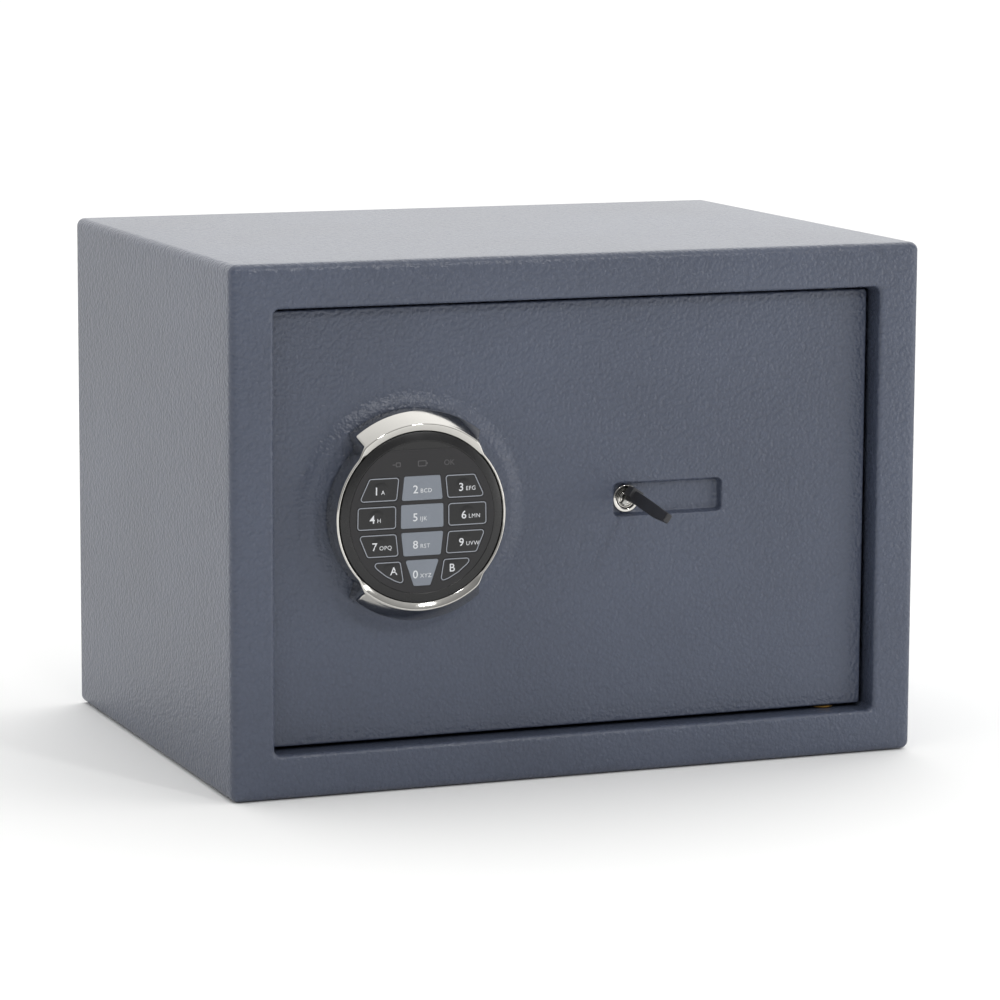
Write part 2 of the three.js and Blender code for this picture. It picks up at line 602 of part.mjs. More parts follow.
function add(name, shape, material) {
  const { vertProperties, triVerts } = shape.getMesh();
  const geometry = new THREE.BufferGeometry();
  geometry.setAttribute('position', new THREE.BufferAttribute(vertProperties, 3));
  geometry.setIndex(new THREE.BufferAttribute(triVerts, 1));
  geometry.computeVertexNormals();
  const mesh = new THREE.Mesh(geometry, material);
  mesh.name = name;
  safe.add(mesh);
}

add('body_shell', bodyShell(), PAINT);
add('rear_panel', rearPanel(), PAINT);
add('floor_mat', floorMat(), FELT);
add('hinge_washer', hingeWasher(), BRASS);

add('door_plate', doorPlate(), PAINT);
add('pocket_plate', pocketPlate(), PAINT);
add('hinge_block_bottom', hingeBlock([22.5, 43]), ZINC);
add('hinge_block_top', hingeBlock([207, 226.4]), ZINC);
add('hinge_pin_bottom', hingePin([16, 40], [16, 18.6]), ZINC);
add('hinge_pin_top', hingePin([210, 234], [231.4, 234]), ZINC);
add('door_frame', doorFrame(), PAINT);
add('inner_cover', innerCover(), PAINT);
screwPlaces.forEach((at, i) => add(`cover_screw_${i + 1}`, coverScrew(at), ZINC));

add('dial_ring', dialRing(), CHROME);
add('crank_plate', crankPlate(), ZINC);
add('spindle_circlip', tube(9.1, SPINDLE.r + GAP, [-95.2, -94.2], [DIAL_X, LOCK_Z]), ZINC);
add('spindle_bush', spindleBush(), BRASS);

add('keypad_housing', keypadHousing(), BLACK);
add('keypad_fascia', keypadFascia(), BLACK);
add('keypad_board', keypadBoard(), BOARD);
for (const [label, outline] of Object.entries(keyOutlines())) {
  const grey = ['2', '5', '8', '0'].includes(label);
  add(`pad_key_${label}`, padKey(outline), grey ? PAD_GREY : PAD_BLACK);
}
add('keypad_bracket', keypadBracket(), ZINC);
add('stem_nut', hexNut(8, STEM.r + GAP, [-83.7, -80.7], [DIAL_X, LOCK_Z]), ZINC);
add('keypad_cable', keypadCable(), BLACK);

add('bolt_bar', boltBar(), ZINC);
add('bolt_upper', bolt(BOLT_Z[1]), ZINC);
add('bolt_lower', bolt(BOLT_Z[0]), ZINC);
add('guide_post_upper', guidePost(BOLT_Z[1]), ZINC);
add('guide_post_lower', guidePost(BOLT_Z[0]), ZINC);
add('solenoid_frame', solenoidFrame(), ZINC);
add('solenoid_coil', solenoidCoil(), BLACK);
add('solenoid_plunger', solenoidPlunger(), ZINC);

add('lock_barrel', lockBarrel(), CHROME);
add('lock_nut', hexNut(9.5, 6.2, [BEHIND_DOOR + 2 + GAP, BEHIND_DOOR + 5.3], [KEY_X, LOCK_Z]), ZINC);
add('lock_plug', lockPlug(), CHROME);
add('lock_cam', lockCam(), ZINC);
add('key_blade', keyBlade(), ZINC);
add('key_grip', keyGrip(), BLACK);

add('control_board', controlBoard(), BOARD);
add('reset_button', resetButton(), RED);
add('battery_tray', batteryTray(), BLACK);
for (let i = 0; i < 4; i++) add(`battery_${i + 1}`, battery(i), CELL);
add('battery_cover', batteryCover(), BLACK);

export default safe;
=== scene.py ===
import bmesh
import bpy
import numpy as np
from mathutils import Matrix, Vector


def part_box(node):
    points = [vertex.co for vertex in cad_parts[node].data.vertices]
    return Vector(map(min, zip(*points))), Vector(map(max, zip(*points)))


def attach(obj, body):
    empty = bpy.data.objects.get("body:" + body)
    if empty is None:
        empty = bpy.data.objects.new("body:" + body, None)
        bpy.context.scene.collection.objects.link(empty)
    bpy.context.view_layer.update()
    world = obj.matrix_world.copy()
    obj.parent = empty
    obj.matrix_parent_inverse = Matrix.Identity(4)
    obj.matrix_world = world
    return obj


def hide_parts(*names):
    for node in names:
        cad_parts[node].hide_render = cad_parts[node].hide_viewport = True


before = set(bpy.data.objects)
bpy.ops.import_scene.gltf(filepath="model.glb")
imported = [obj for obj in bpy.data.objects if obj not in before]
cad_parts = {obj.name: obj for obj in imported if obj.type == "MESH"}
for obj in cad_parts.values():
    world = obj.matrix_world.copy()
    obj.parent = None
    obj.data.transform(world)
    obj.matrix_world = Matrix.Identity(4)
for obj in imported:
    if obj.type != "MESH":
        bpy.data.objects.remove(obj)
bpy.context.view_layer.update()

MM = 0.001

# ----------------------------------------------------------------------
# Studio. A pale floor under a white sky, bright behind the safe and overhead, dim on the viewer's
# side and a little dimmer at the left. Two small soft boxes high in front pick out the rounded
# edges, and a wide weak one stands at the right.
# ----------------------------------------------------------------------


def linear(colour):
    """sRGB hex to linear RGBA: c / 12.92 below 0.04045, otherwise ((c + 0.055) / 1.055) ** 2.4."""
    c = np.array([int(colour[i:i + 2], 16) for i in (1, 3, 5)]) / 255
    return (*np.where(c < 0.04045, c / 12.92, ((c + 0.055) / 1.055) ** 2.4), 1.0)


def add_node(tree, kind, settings=None, inputs=None):
    """Adds one node, sets its properties, and gives each named input a value or a link."""
    made = tree.nodes.new(kind)
    for name, value in (settings or {}).items():
        setattr(made, name, value)
    for name, value in (inputs or {}).items():
        if isinstance(value, bpy.types.NodeSocket):
            tree.links.new(value, made.inputs[name])
        else:
            made.inputs[name].default_value = value
    return made


def noise(tree, at, scale, detail, roughness=0.5):
    """A cloudy pattern's value, about 0.5 on average, whose spots are near 1 / scale metres apart."""
    return add_node(tree, "ShaderNodeTexNoise", None, {
        "Vector": at, "Scale": scale, "Detail": detail, "Roughness": roughness}).outputs["Fac"]


def ranged(tree, value, low, high, to_low=0.0, to_high=1.0, curve="LINEAR"):
    """A value between low and high, carried over to between to_low and to_high."""
    return add_node(tree, "ShaderNodeMapRange", {"interpolation_type": curve}, {
        "Value": value, "From Min": low, "From Max": high,
        "To Min": to_low, "To Max": to_high}).outputs["Result"]


def maths(tree, operation, *values):
    """One step of arithmetic on two or three values."""
    return add_node(tree, "ShaderNodeMath", {"operation": operation}, dict(enumerate(values))).outputs[0]


def blend(tree, share, first, second):
    """The first colour at share 0, the second at 1, and a mixture between."""
    return add_node(tree, "ShaderNodeMix", {"data_type": "RGBA"}, {
        "Factor": share, 6: first, 7: second}).outputs[2]


def finish_shader(tree, shader, colour=None, gloss=None, height=None, strength=0.0, depth=0.0):
    """Links a colour and a roughness to the shader, and bends its normal by a height of 0 to 1 that
    stands for the given depth in metres."""
    for name, value in (("Base Color", colour), ("Roughness", gloss)):
        if value is not None:
            tree.links.new(value, shader.inputs[name])
    if height is not None:
        bump = add_node(tree, "ShaderNodeBump", None, {
            "Height": height, "Strength": strength, "Distance": depth})
        tree.links.new(bump.outputs[0], shader.inputs["Normal"])


def linked(name, data):
    """A new object of the given mesh, curve, text, camera or light, put in the scene."""
    made = bpy.data.objects.new(name, data)
    scene.collection.objects.link(made)
    return made


scene = bpy.context.scene
scene.view_settings.view_transform = "Standard"

# The camera stands 2.1 m off at the front left, 0.45 m up, with a long lens.
eye = Vector((-0.7730, -1.9655, 0.4474))
ahead = Vector((0.3643, 0.9182, -0.1556)).normalized()
upward = Vector((0.0524, 0.1466, 0.9878))
across = ahead.cross(upward).normalized()
upward = across.cross(ahead)
camera = linked("camera", bpy.data.cameras.new("camera"))
camera.matrix_world = Matrix.Translation(eye) @ Matrix((across, upward, -ahead)).transposed().to_4x4()
camera.data.lens = 154
camera.data.sensor_width = 36
scene.camera = camera

world = bpy.data.worlds.new("studio")
world.use_nodes = True
scene.world = world
sky = world.node_tree
sky.nodes.clear()
heading = add_node(sky, "ShaderNodeTexCoord").outputs["Generated"]
parts = add_node(sky, "ShaderNodeSeparateXYZ", None, {"Vector": heading})
from_behind = ranged(sky, parts.outputs["Y"], -0.95, 0.95, 0.33, 1.50, "SMOOTHSTEP")
overhead = ranged(sky, parts.outputs["Z"], 0.2, 1.0, 0.0, 0.55, "SMOOTHSTEP")
to_the_right = ranged(sky, parts.outputs["X"], -0.8, 0.8, 0.74, 1.1, "SMOOTHSTEP")
light = maths(sky, "MULTIPLY", maths(sky, "ADD", from_behind, overhead), to_the_right)
seen = add_node(sky, "ShaderNodeLightPath").outputs["Is Camera Ray"]
strength = add_node(sky, "ShaderNodeMix", {"data_type": "FLOAT"}, {"Factor": seen, "A": light, "B": 1.2})
glow = add_node(sky, "ShaderNodeBackground", None, {
    "Color": (1, 1, 1, 1), "Strength": strength.outputs["Result"]})
add_node(sky, "ShaderNodeOutputWorld", None, {"Surface": glow.outputs[0]})


def soft_box(name, place, aim, size, power):
    """A square area light of the given side in metres, turned from its place towards aim."""
    lamp = linked(name, bpy.data.lights.new(name, "AREA"))
    lamp.data.shape, lamp.data.size, lamp.data.energy = "SQUARE", size, power
    turn = (Vector(aim) - Vector(place)).to_track_quat("-Z", "Y").to_matrix().to_4x4()
    lamp.matrix_world = Matrix.Translation(place) @ turn


soft_box("soft_box_front", (0.60, -1.95, 1.25), (-0.02, -0.1, 0.13), 0.15, 7.0)
soft_box("soft_box_upper_left", (-0.17, -1.98, 1.45), (-0.08, -0.1, 0.15), 0.18, 4.0)
soft_box("soft_box_right", (1.15, -0.9, 0.30), (0.1, -0.1, 0.12), 0.6, 2.5)


def cells_of(index):
    """The quads between a grid of point numbers."""
    return np.stack([index[:-1, :-1], index[:-1, 1:], index[1:, 1:], index[1:, :-1]], -1).reshape(-1, 4)


def grid_skin(name, points, wrap_rows=False, wrap_columns=False, cap_rows=False, row_paint=None):
    """A mesh object from a grid of points in millimetres, shape (rows, columns, 3). Each cell is one
    quad; wrap joins the last row or column to the first; cap_rows closes the first and last rows;
    row_paint gives each row of quads its material's number."""
    rows, columns = points.shape[:2]
    index = np.arange(rows * columns).reshape(rows, columns)
    if wrap_rows:
        index = np.vstack([index, index[:1]])
    if wrap_columns:
        index = np.hstack([index, index[:, :1]])
    quads = cells_of(index)
    faces = quads.tolist()
    if cap_rows:
        faces += [index[0, :columns].tolist(), index[-1, :columns][::-1].tolist()]
    mesh = bpy.data.meshes.new(name)
    mesh.from_pydata(points.reshape(-1, 3) * MM, [], faces)
    if row_paint is not None:
        paint = np.repeat(np.array(row_paint, np.int32), index.shape[1] - 1)
        caps = np.zeros(len(faces) - len(quads), np.int32)
        mesh.polygons.foreach_set("material_index", np.append(paint, caps))
    return finished(name, mesh)


def finished(name, mesh, sharp=38):
    """Merges doubles, turns the faces outwards, shades smooth up to the sharp angle, and links it."""
    form = bmesh.new()
    form.from_mesh(mesh)
    bmesh.ops.remove_doubles(form, verts=form.verts, dist=2e-6)
    bmesh.ops.dissolve_degenerate(form, edges=form.edges, dist=1e-7)
    bmesh.ops.recalc_face_normals(form, faces=form.faces)
    if form.calc_volume(signed=True) < 0:
        bmesh.ops.reverse_faces(form, faces=form.faces)
    form.to_mesh(mesh)
    form.free()
    mesh.polygons.foreach_set("use_smooth", np.ones(len(mesh.polygons), bool))
    mesh.set_sharp_from_angle(angle=np.radians(sharp))
    return linked(name, mesh)


def place_piece(piece, material, body, slot, *nodes):
    """Gives a finished piece its material (or several, in the order of their numbers) and its body, and hides
    the CAD nodes that it stands for. The slot argument is not used."""
    numbers = np.zeros(len(piece.data.polygons), np.int32)
    piece.data.polygons.foreach_get("material_index", numbers)
    piece.data.materials.clear()
    for one in material if isinstance(material, list) else [material]:
        piece.data.materials.append(one)
    piece.data.polygons.foreach_set("material_index", numbers)
    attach(piece, body)
    if nodes:
        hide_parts(*nodes)
    return piece


floor_points = np.array([[[x, y, -0.0003] for x in (-20, 20)] for y in (-20, 20)]) / MM
studio_floor = grid_skin("studio_floor", floor_points)
floor_paint = bpy.data.materials.new("matt_white_floor")
floor_paint.use_nodes = True
floor_shader = floor_paint.node_tree.nodes["Principled BSDF"]
for name, value in (("Base Color", linear("#F6F6F5")), ("Roughness", 0.9), ("Specular IOR Level", 0.1)):
    floor_shader.inputs[name].default_value = value
studio_floor.data.materials.append(floor_paint)

# ----------------------------------------------------------------------
# Body. One sheet of 2 mm steel wrapped round, with a pressed front frame whose flanges turn back
# into the doorway. It is welded, then powder coated in a graphite blue with a fine leather grain.
# ----------------------------------------------------------------------


def object_place(tree):
    """The piece's own coordinates in metres, which all the patterns are laid out in."""
    return add_node(tree, "ShaderNodeTexCoord").outputs["Object"]


def blank_material(name, colour, roughness, metallic=0.0):
    """A new material with one Principled shader, returned with its node tree and that shader."""
    made = bpy.data.materials.new(name)
    made.use_nodes = True
    shader = made.node_tree.nodes["Principled BSDF"]
    shader.inputs["Base Color"].default_value = linear(colour)
    shader.inputs["Roughness"].default_value = roughness
    shader.inputs["Metallic"].default_value = metallic
    return made, made.node_tree, shader


def leather_grain_coat(name, colour, lighter):
    """Polyester powder coat, baked on. The powder melts into soft bumps 1 to 2 mm across with
    narrow valleys, so a satin gloss breaks into sparkles on every rounded edge."""
    made, tree, shader = blank_material(name, colour, 0.32)
    at = object_place(tree)
    # Bumps 2 mm across, pulled out of round by a 3 mm wobble; a 1.2 mm ripple lies on them.
    wobble = add_node(tree, "ShaderNodeTexNoise", None, {"Vector": at, "Scale": 330.0, "Detail": 1.0})
    pulled = add_node(tree, "ShaderNodeVectorMath", {"operation": "MULTIPLY_ADD"}, {
        0: wobble.outputs["Color"], 1: (0.0016,) * 3, 2: at})
    cells = add_node(tree, "ShaderNodeTexVoronoi", {"feature": "SMOOTH_F1"}, {
        "Vector": pulled.outputs[0], "Scale": 500.0, "Smoothness": 0.7})
    ripple = noise(tree, at, 800.0, 1.5)
    height = maths(tree, "MULTIPLY_ADD", cells.outputs["Distance"], -1.1, ripple)
    # The film's colour drifts a little over 100 mm. It is also darker in the valleys of the grain, which is
    # painted shade.
    share = maths(tree, "MULTIPLY_ADD", height, 0.35, noise(tree, at, 10.0, 3.0))
    drift_and_valley_shade = ranged(tree, share, 0.25, 0.85)
    paint = blend(tree, drift_and_valley_shade, linear(colour), linear(lighter))
    finish_shader(tree, shader, paint, None, height, 0.9, 0.00032)
    return made


powder_coat = leather_grain_coat("graphite_blue_powder_coat", "#424857", "#4C5364")

WIDE, HIGH, DEEP, SHEET, FRAME_W = 350.0, 250.0, 250.0, 2.0, 21.0
FRONT, MID = -DEEP / 2, HIGH / 2


def corner_arc(start, corner, end, count=7):
    """A rounded corner: (1 - t)^2 start + 2 t (1 - t) corner + t^2 end, for t from 0 to 1."""
    t = np.linspace(0, 1, count)[:, None]
    a, b, c = (np.array(p, float) for p in (start, corner, end))
    return (1 - t) ** 2 * a + 2 * t * (1 - t) * b + t ** 2 * c


def rounded(points, radius, closed=True, count=5):
    """A polygon with each corner cut back by radius (one number or one for each corner), no more
    than 0.45 of the shorter side, and bridged by corner_arc."""
    points = np.array(points, float)
    radius = np.broadcast_to(radius, len(points))
    before, after = np.roll(points, 1, 0), np.roll(points, -1, 0)
    to_before, to_after = before - points, after - points
    size_b, size_a = np.linalg.norm(to_before, axis=1), np.linalg.norm(to_after, axis=1)
    cut = np.minimum(radius, 0.45 * np.minimum(size_b, size_a))
    if not closed:
        cut[[0, -1]] = 0
    starts = points + to_before / size_b[:, None] * cut[:, None]
    ends = points + to_after / size_a[:, None] * cut[:, None]
    arcs = [corner_arc(s, p, e, count) if c > 1e-6 else p[None]
            for s, p, e, c in zip(starts, points, ends, cut)]
    return np.vstack(arcs)


def as_built(rough):
    """The mesh of an object with its modifiers carried out, or of a curve or text. The object is
    removed."""
    shown = bpy.context.evaluated_depsgraph_get()
    shown.update()
    mesh = bpy.data.meshes.new_from_object(rough.evaluated_get(shown))
    bpy.data.objects.remove(rough)
    return mesh


def cut_away(piece, *cutters):
    """Takes the cutters' shapes out of a piece for good, and removes them."""
    for cutter in cutters:
        tool = piece.modifiers.new("cut", "BOOLEAN")
        tool.object, tool.operation, tool.solver = cutter, "DIFFERENCE", "EXACT"
    name, mesh = piece.name, as_built(piece)
    for cutter in cutters:
        bpy.data.objects.remove(cutter)
    return finished(name, mesh)


AXES = {"x": (1, 2, 0), "y": (0, 2, 1), "z": (0, 1, 2)}


def turned(name, profile, axis, at, count=72):
    """A turned piece: profile points (radius r, height h), carried round an axis through at by
    (r cos a, r sin a, h). A profile that starts and ends on the axis closes itself."""
    profile = np.array(profile, float)
    a = np.linspace(0, 2 * np.pi, count, endpoint=False)
    points = np.empty((len(profile), count, 3))
    first, second, along = AXES[axis]
    points[..., first] = at[0] + profile[:, :1] * np.cos(a)
    points[..., second] = at[1] + profile[:, :1] * np.sin(a)
    points[..., along] = profile[:, 1:]
    return grid_skin(name, points, wrap_rows=True, wrap_columns=True)


def rod(name, axis, radius, span, at, edge=0.0, count=48):
    """A round bar with its two end edges broken by edge."""
    low, high = span
    return turned(name, [(0, low), (radius - edge, low), (radius, low + edge), (radius, high - edge),
                         (radius - edge, high), (0, high)], axis, at, count)


def frame_path():
    """Round the front from the top right corner. Rows are (sx, sz, a): the signs are 1 or -1 at the
    corners and run between them along the sides, and a is the outward direction."""
    quarter = np.linspace(0, np.pi / 2, 7)
    across_top = np.linspace(1, -1, 11)[1:-1]
    down_side = np.array([0.9815, 0.98, 0.6, 0.2, -0.2, -0.6, -0.98, -0.9815])
    runs = []
    for k, (sx, sz) in enumerate([(1, 1), (-1, 1), (-1, -1), (1, -1)]):
        runs.append(np.stack([np.full(7, sx), np.full(7, sz), quarter + k * np.pi / 2], 1))
        if k % 2 == 0:
            run = [across_top * sx, np.full(9, sz)]
        else:
            run = [np.full(8, sx), down_side * sz]
        runs.append(np.stack([*run, np.full(len(run[0]), (k + 1) * np.pi / 2)], 1))
    return np.vstack(runs)


path = frame_path()
front_arc = corner_arc((0, FRONT + 4.5), (0, FRONT), (4.5, FRONT), 9)
lip_arc = corner_arc((FRAME_W - 2.4, FRONT), (FRAME_W, FRONT), (FRAME_W, FRONT + 2.4), 8)
section = np.vstack([[(0, DEEP / 2), (0, 0), (0, FRONT + 12)], front_arc, lip_arc,
                     [(FRAME_W, FRONT + 4), (FRAME_W, -1), (20.6, 0), (19.4, 0), (19, -1), (19, FRONT + 3)],
                     [(18.6, FRONT + SHEET), (2.6, FRONT + SHEET), (2, FRONT + 3), (2, 0), (2, DEEP / 2)]])
# The four points at the flange's tip come after the side, the two arcs and the flange's first point.
before_tip = 3 + len(front_arc) + len(lip_arc) + 1
flange = slice(before_tip, before_tip + 4)
inset = section[:, 0][:, None]
radius = np.interp(section[:, 0], [0, 2, 4.5, 18, 21], [4.0, 2.0, 3.0, 4.0, 3.0])[:, None]
sx, sz, a = path[:, 0], path[:, 1], path[:, 2]
shell_points = np.empty((len(section), len(path), 3))
shell_points[..., 0] = sx * (WIDE / 2 - inset - radius) + radius * np.cos(a)
shell_points[..., 2] = MID + sz * (HIGH / 2 - inset - radius) + radius * np.sin(a)
shell_points[..., 1] = section[:, 1:]
deep = np.where((np.abs(sx) == 1) & (np.abs(sz) < 0.981), 18.0, 34.0)
tip = np.array([-1, 0, 0, -1.0])[:, None]
shell_points[flange, :, 1] = FRONT + deep + tip * 0.6
steel_body = grid_skin("steel_body", shell_points, wrap_rows=True, wrap_columns=True)
HINGE = (134.5, -107.0)
steel_body = cut_away(
    steel_body,
    *[rod(f"hole_{i}", "z", 3.4, (z - 4, z + 4), HINGE) for i, z in enumerate((21, 229))],
    *[rod(f"anchor_{i}", "z", 5, (-1, 3), (x, 40)) for i, x in enumerate((-100, 100))])
place_piece(steel_body, powder_coat, "root", "powder_coat", "body_shell")


def from_cad(name, node, material, body, slot, edge=0.3):
    """A copy of a CAD solid with its doubles merged, its flat faces joined and its sharp edges
    rounded by a two-step bevel of the given width in millimetres. The bevel's steps are shaded
    flat, so that the wide faces between them are too."""
    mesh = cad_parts[node].data.copy()
    form = bmesh.new()
    form.from_mesh(mesh)
    bmesh.ops.remove_doubles(form, verts=form.verts, dist=2e-6)
    bmesh.ops.dissolve_limit(form, angle_limit=np.radians(0.6), verts=form.verts, edges=form.edges)
    form.to_mesh(mesh)
    form.free()
    rough = linked(name, mesh)
    if edge:
        bevel = rough.modifiers.new("edges", "BEVEL")
        bevel.width, bevel.segments, bevel.limit_method = edge * MM, 2, "ANGLE"
        bevel.angle_limit = np.radians(40)
    return place_piece(finished(name, as_built(rough), 21), material, body, slot, node)


# Rear panel: a flat sheet let into the back of the body and welded, with two holes for wall bolts.
from_cad("back_panel", "rear_panel", powder_coat, "root", "powder_coat", 0.4)

# ----------------------------------------------------------------------
# Floor mat. Needle-felt cut to the floor's size and laid in loose, so that what is put inside
# doesn't scratch. It has two round cut-outs over the floor's anchor holes.
# ----------------------------------------------------------------------


def needle_felt(name, dark, light):
    """Polyester needle-felt: short fibres tangled flat, so it is matt with a mottled grey fleck."""
    made, tree, shader = blank_material(name, dark, 0.95)
    at = object_place(tree)
    # Fibres are 0.03 mm thick, too fine to show; they are drawn as 0.5 mm tufts.
    tufts = noise(tree, at, 1900.0, 3.0, 0.7)
    both = maths(tree, "MULTIPLY_ADD", noise(tree, at, 120.0, 2.0), 0.4, tufts)
    yarn = blend(tree, ranged(tree, both, 0.45, 0.95), linear(dark), linear(light))
    finish_shader(tree, shader, yarn, None, both, 0.8, 0.0006)
    shader.inputs["Sheen Weight"].default_value = 0.25
    return made


felt = needle_felt("grey_needle_felt", "#26272B", "#3B3D42")
mat_low, mat_high = (np.array(v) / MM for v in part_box("floor_mat"))
MAT_W, MAT_D = 338, 218
u = np.linspace(0, 1, 86)[:, None]
v = np.linspace(0, 1, 58)[None]
edge = np.minimum(np.minimum(u, 1 - u) * MAT_W, np.minimum(v, 1 - v) * MAT_D)
# The felt's top dips to a soft edge and waves by 0.15 mm across its width.
sag = 0.9 * np.exp(-edge / 0.8) + 0.15 * (1 + np.sin(9 * u) * np.cos(7 * v))
top = np.stack(np.broadcast_arrays(mat_low[0] + MAT_W * u, mat_low[1] + MAT_D * v, mat_high[2] - sag), -1)
under = top.copy()
under[..., 2] = mat_low[2]

def two_skins(name, front, back):
    """A slab between two grids of the same size, joined along their borders by one strip of quads."""
    rows, columns = front.shape[:2]
    index = np.arange(rows * columns).reshape(rows, columns)
    quads = cells_of(index)
    border = np.concatenate([index[0, :-1], index[:-1, -1], index[-1, :0:-1], index[:0:-1, 0]])
    after = np.roll(border, -1)
    total = rows * columns
    strip = np.stack([border, after, after + total, border + total], 1)
    mesh = bpy.data.meshes.new(name)
    points = np.vstack([front.reshape(-1, 3), back.reshape(-1, 3)]) * MM
    mesh.from_pydata(points, [], np.vstack([quads, quads[:, ::-1] + total, strip]).tolist())
    return finished(name, mesh)


floor_felt = two_skins("floor_felt", top, under)
floor_felt = cut_away(floor_felt, *[
    rod(f"felt_hole_{i}", "z", 9, (0, 9), (x, 40)) for i, x in enumerate((-100, 100))])
place_piece(floor_felt, felt, "root", "felt", "floor_mat")

# ----------------------------------------------------------------------
# Door plate. 4 mm steel that sits 11 mm back in the doorway. A round seat is pressed up 2 mm under
# the dial, and a slot, closed from behind by a welded plate, makes the pocket of the key lock.
# ----------------------------------------------------------------------
DIAL, LOCK_Z = (-84.0, 130.5), 130.5
DOOR_W, DOOR_H, DOOR_FACE, DOOR_BACK = 304.4, 204.4, -114.0, -110.0
POCKET_X, POCKET_W, POCKET_H, POCKET_R = 48.1, 55.8, 15.6, 2.4


def fine_lines(low, high, step, *clusters):
    """Grid lines from low to high every step, with a denser set round each (place, reach, pitch)."""
    lines = [np.arange(low, high, step), [low, high]]
    lines += [np.arange(at - reach, at + reach + 1e-6, pitch) for at, reach, pitch in clusters]
    lines = np.unique(np.round(np.concatenate(lines), 3))
    lines = lines[(lines >= low) & (lines <= high)]
    keep = np.concatenate([[True], np.diff(lines) > 0.12])
    keep[-1] = True
    return lines[keep]


half_w, half_h = DOOR_W / 2, DOOR_H / 2
px = [(POCKET_X + s * POCKET_W / 2, 2.2, 0.2) for s in (-1, 1)]
pz = [(LOCK_Z + s * POCKET_H / 2, 2.2, 0.2) for s in (-1, 1)]
border_x = [(s * half_w, 2.0, 0.25) for s in (-1, 1)]
border_z = [(MID + s * half_h, 2.0, 0.25) for s in (-1, 1)]
xs = fine_lines(-half_w, half_w, 4.0, *px, *border_x, (DIAL[0], 60, 1.2))
zs = fine_lines(MID - half_h, MID + half_h, 4.0, *pz, *border_z, (DIAL[1], 60, 1.2))
gx, gz = np.meshgrid(xs, zs, indexing="ij")
# Square corners are drawn in to a 2 mm radius: a point's larger offset becomes its distance.
CORNER = 2.0
ox, oz = np.abs(gx) - (half_w - CORNER), np.abs(gz - MID) - (half_h - CORNER)
in_corner = (ox > 0) & (oz > 0)
reach = np.where(in_corner, np.maximum(ox, oz) / np.maximum(np.hypot(ox, oz), 1e-9), 1.0)
gx = np.where(in_corner, np.sign(gx) * (half_w - CORNER + ox * reach), gx)
gz = np.where(in_corner, MID + np.sign(gz - MID) * (half_h - CORNER + oz * reach), gz)
from_edge = CORNER - np.maximum(ox, oz)
soft_edge = np.where(from_edge < 0.9, 0.9 - np.sqrt(np.maximum(0.81 - (0.9 - from_edge) ** 2, 0)), 0)


def rounded_box_distance(x, z, cx, cz, w, h, r):
    """Distance outside a rounded rectangle's edge, negative inside it."""
    dx, dz = np.abs(x - cx) - (w / 2 - r), np.abs(z - cz) - (h / 2 - r)
    return np.hypot(np.maximum(dx, 0), np.maximum(dz, 0)) + np.minimum(np.maximum(dx, dz), 0) - r


def smooth(t):
    """0 below 0, 1 above 1, and 3 t^2 - 2 t^3 between."""
    t = np.clip(t, 0, 1)
    return t * t * (3 - 2 * t)


to_pocket = rounded_box_distance(gx, gz, POCKET_X, LOCK_Z, POCKET_W, POCKET_H, POCKET_R)
# The pocket's wall falls 4.3 mm: a 0.8 mm round at its mouth and a 1.1 mm round at its foot.
wall = np.array([[-1.6, 4.3], [-1.1, 4.22], [-0.7, 3.95], [-0.4, 3.4], [-0.2, 2.4], [0.0, 1.1],
                 [0.2, 0.55], [0.45, 0.2], [0.75, 0.03], [1.0, 0.0]])
sink = np.interp(to_pocket, wall[:, 0], wall[:, 1])
from_dial = np.hypot(gx - DIAL[0], gz - DIAL[1])
rise = 2.2 * (1 - smooth((from_dial - 49.5) / 8.5))
front_y = DOOR_FACE + soft_edge + sink - rise
behind = rounded_box_distance(gx, gz, POCKET_X, LOCK_Z, POCKET_W + 16, POCKET_H + 16, 3)
back_y = DOOR_BACK + 2.3 * (behind < 0)
door_skin = two_skins("door_leaf", np.stack([gx, front_y, gz], -1), np.stack([gx, back_y, gz], -1))
LOCK = (27.5, LOCK_Z)
door_skin = cut_away(door_skin, rod("spindle_hole", "y", 8.6, (-120, -108), DIAL),
                     rod("barrel_hole", "y", 6.2, (-113, -105), LOCK))
place_piece(door_skin, powder_coat, "door", "powder_coat", "door_plate", "pocket_plate")

# ----------------------------------------------------------------------
# Hinges. Two steel pins through the doorway's flanges into blocks welded behind the door, on a
# brass washer that shows as a yellow spot in the gap under the door. Bright zinc plate.
# ----------------------------------------------------------------------


def plated_metal(name, colour, second, roughness, scratch=700.0):
    """Turned or rolled metal with a bright plate: the lay of the tool shows as fine streaks that
    change the gloss, and the plate clouds a little in colour over 20 mm."""
    made, tree, shader = blank_material(name, colour, roughness, 1.0)
    at = object_place(tree)
    tint = blend(tree, noise(tree, at, 50.0, 3.0), linear(colour), linear(second))
    # Streaks 1.4 mm apart along x and z, stretched eight times along y.
    lay = add_node(tree, "ShaderNodeMapping", None, {"Vector": at, "Scale": (1.0, 0.12, 1.0)})
    streaks = noise(tree, lay.outputs[0], scratch, 4.0, 0.65)
    gloss = ranged(tree, streaks, 0.3, 0.7, roughness - 0.07, roughness + 0.09)
    finish_shader(tree, shader, tint, gloss, streaks, 0.25, 0.00004)
    return made


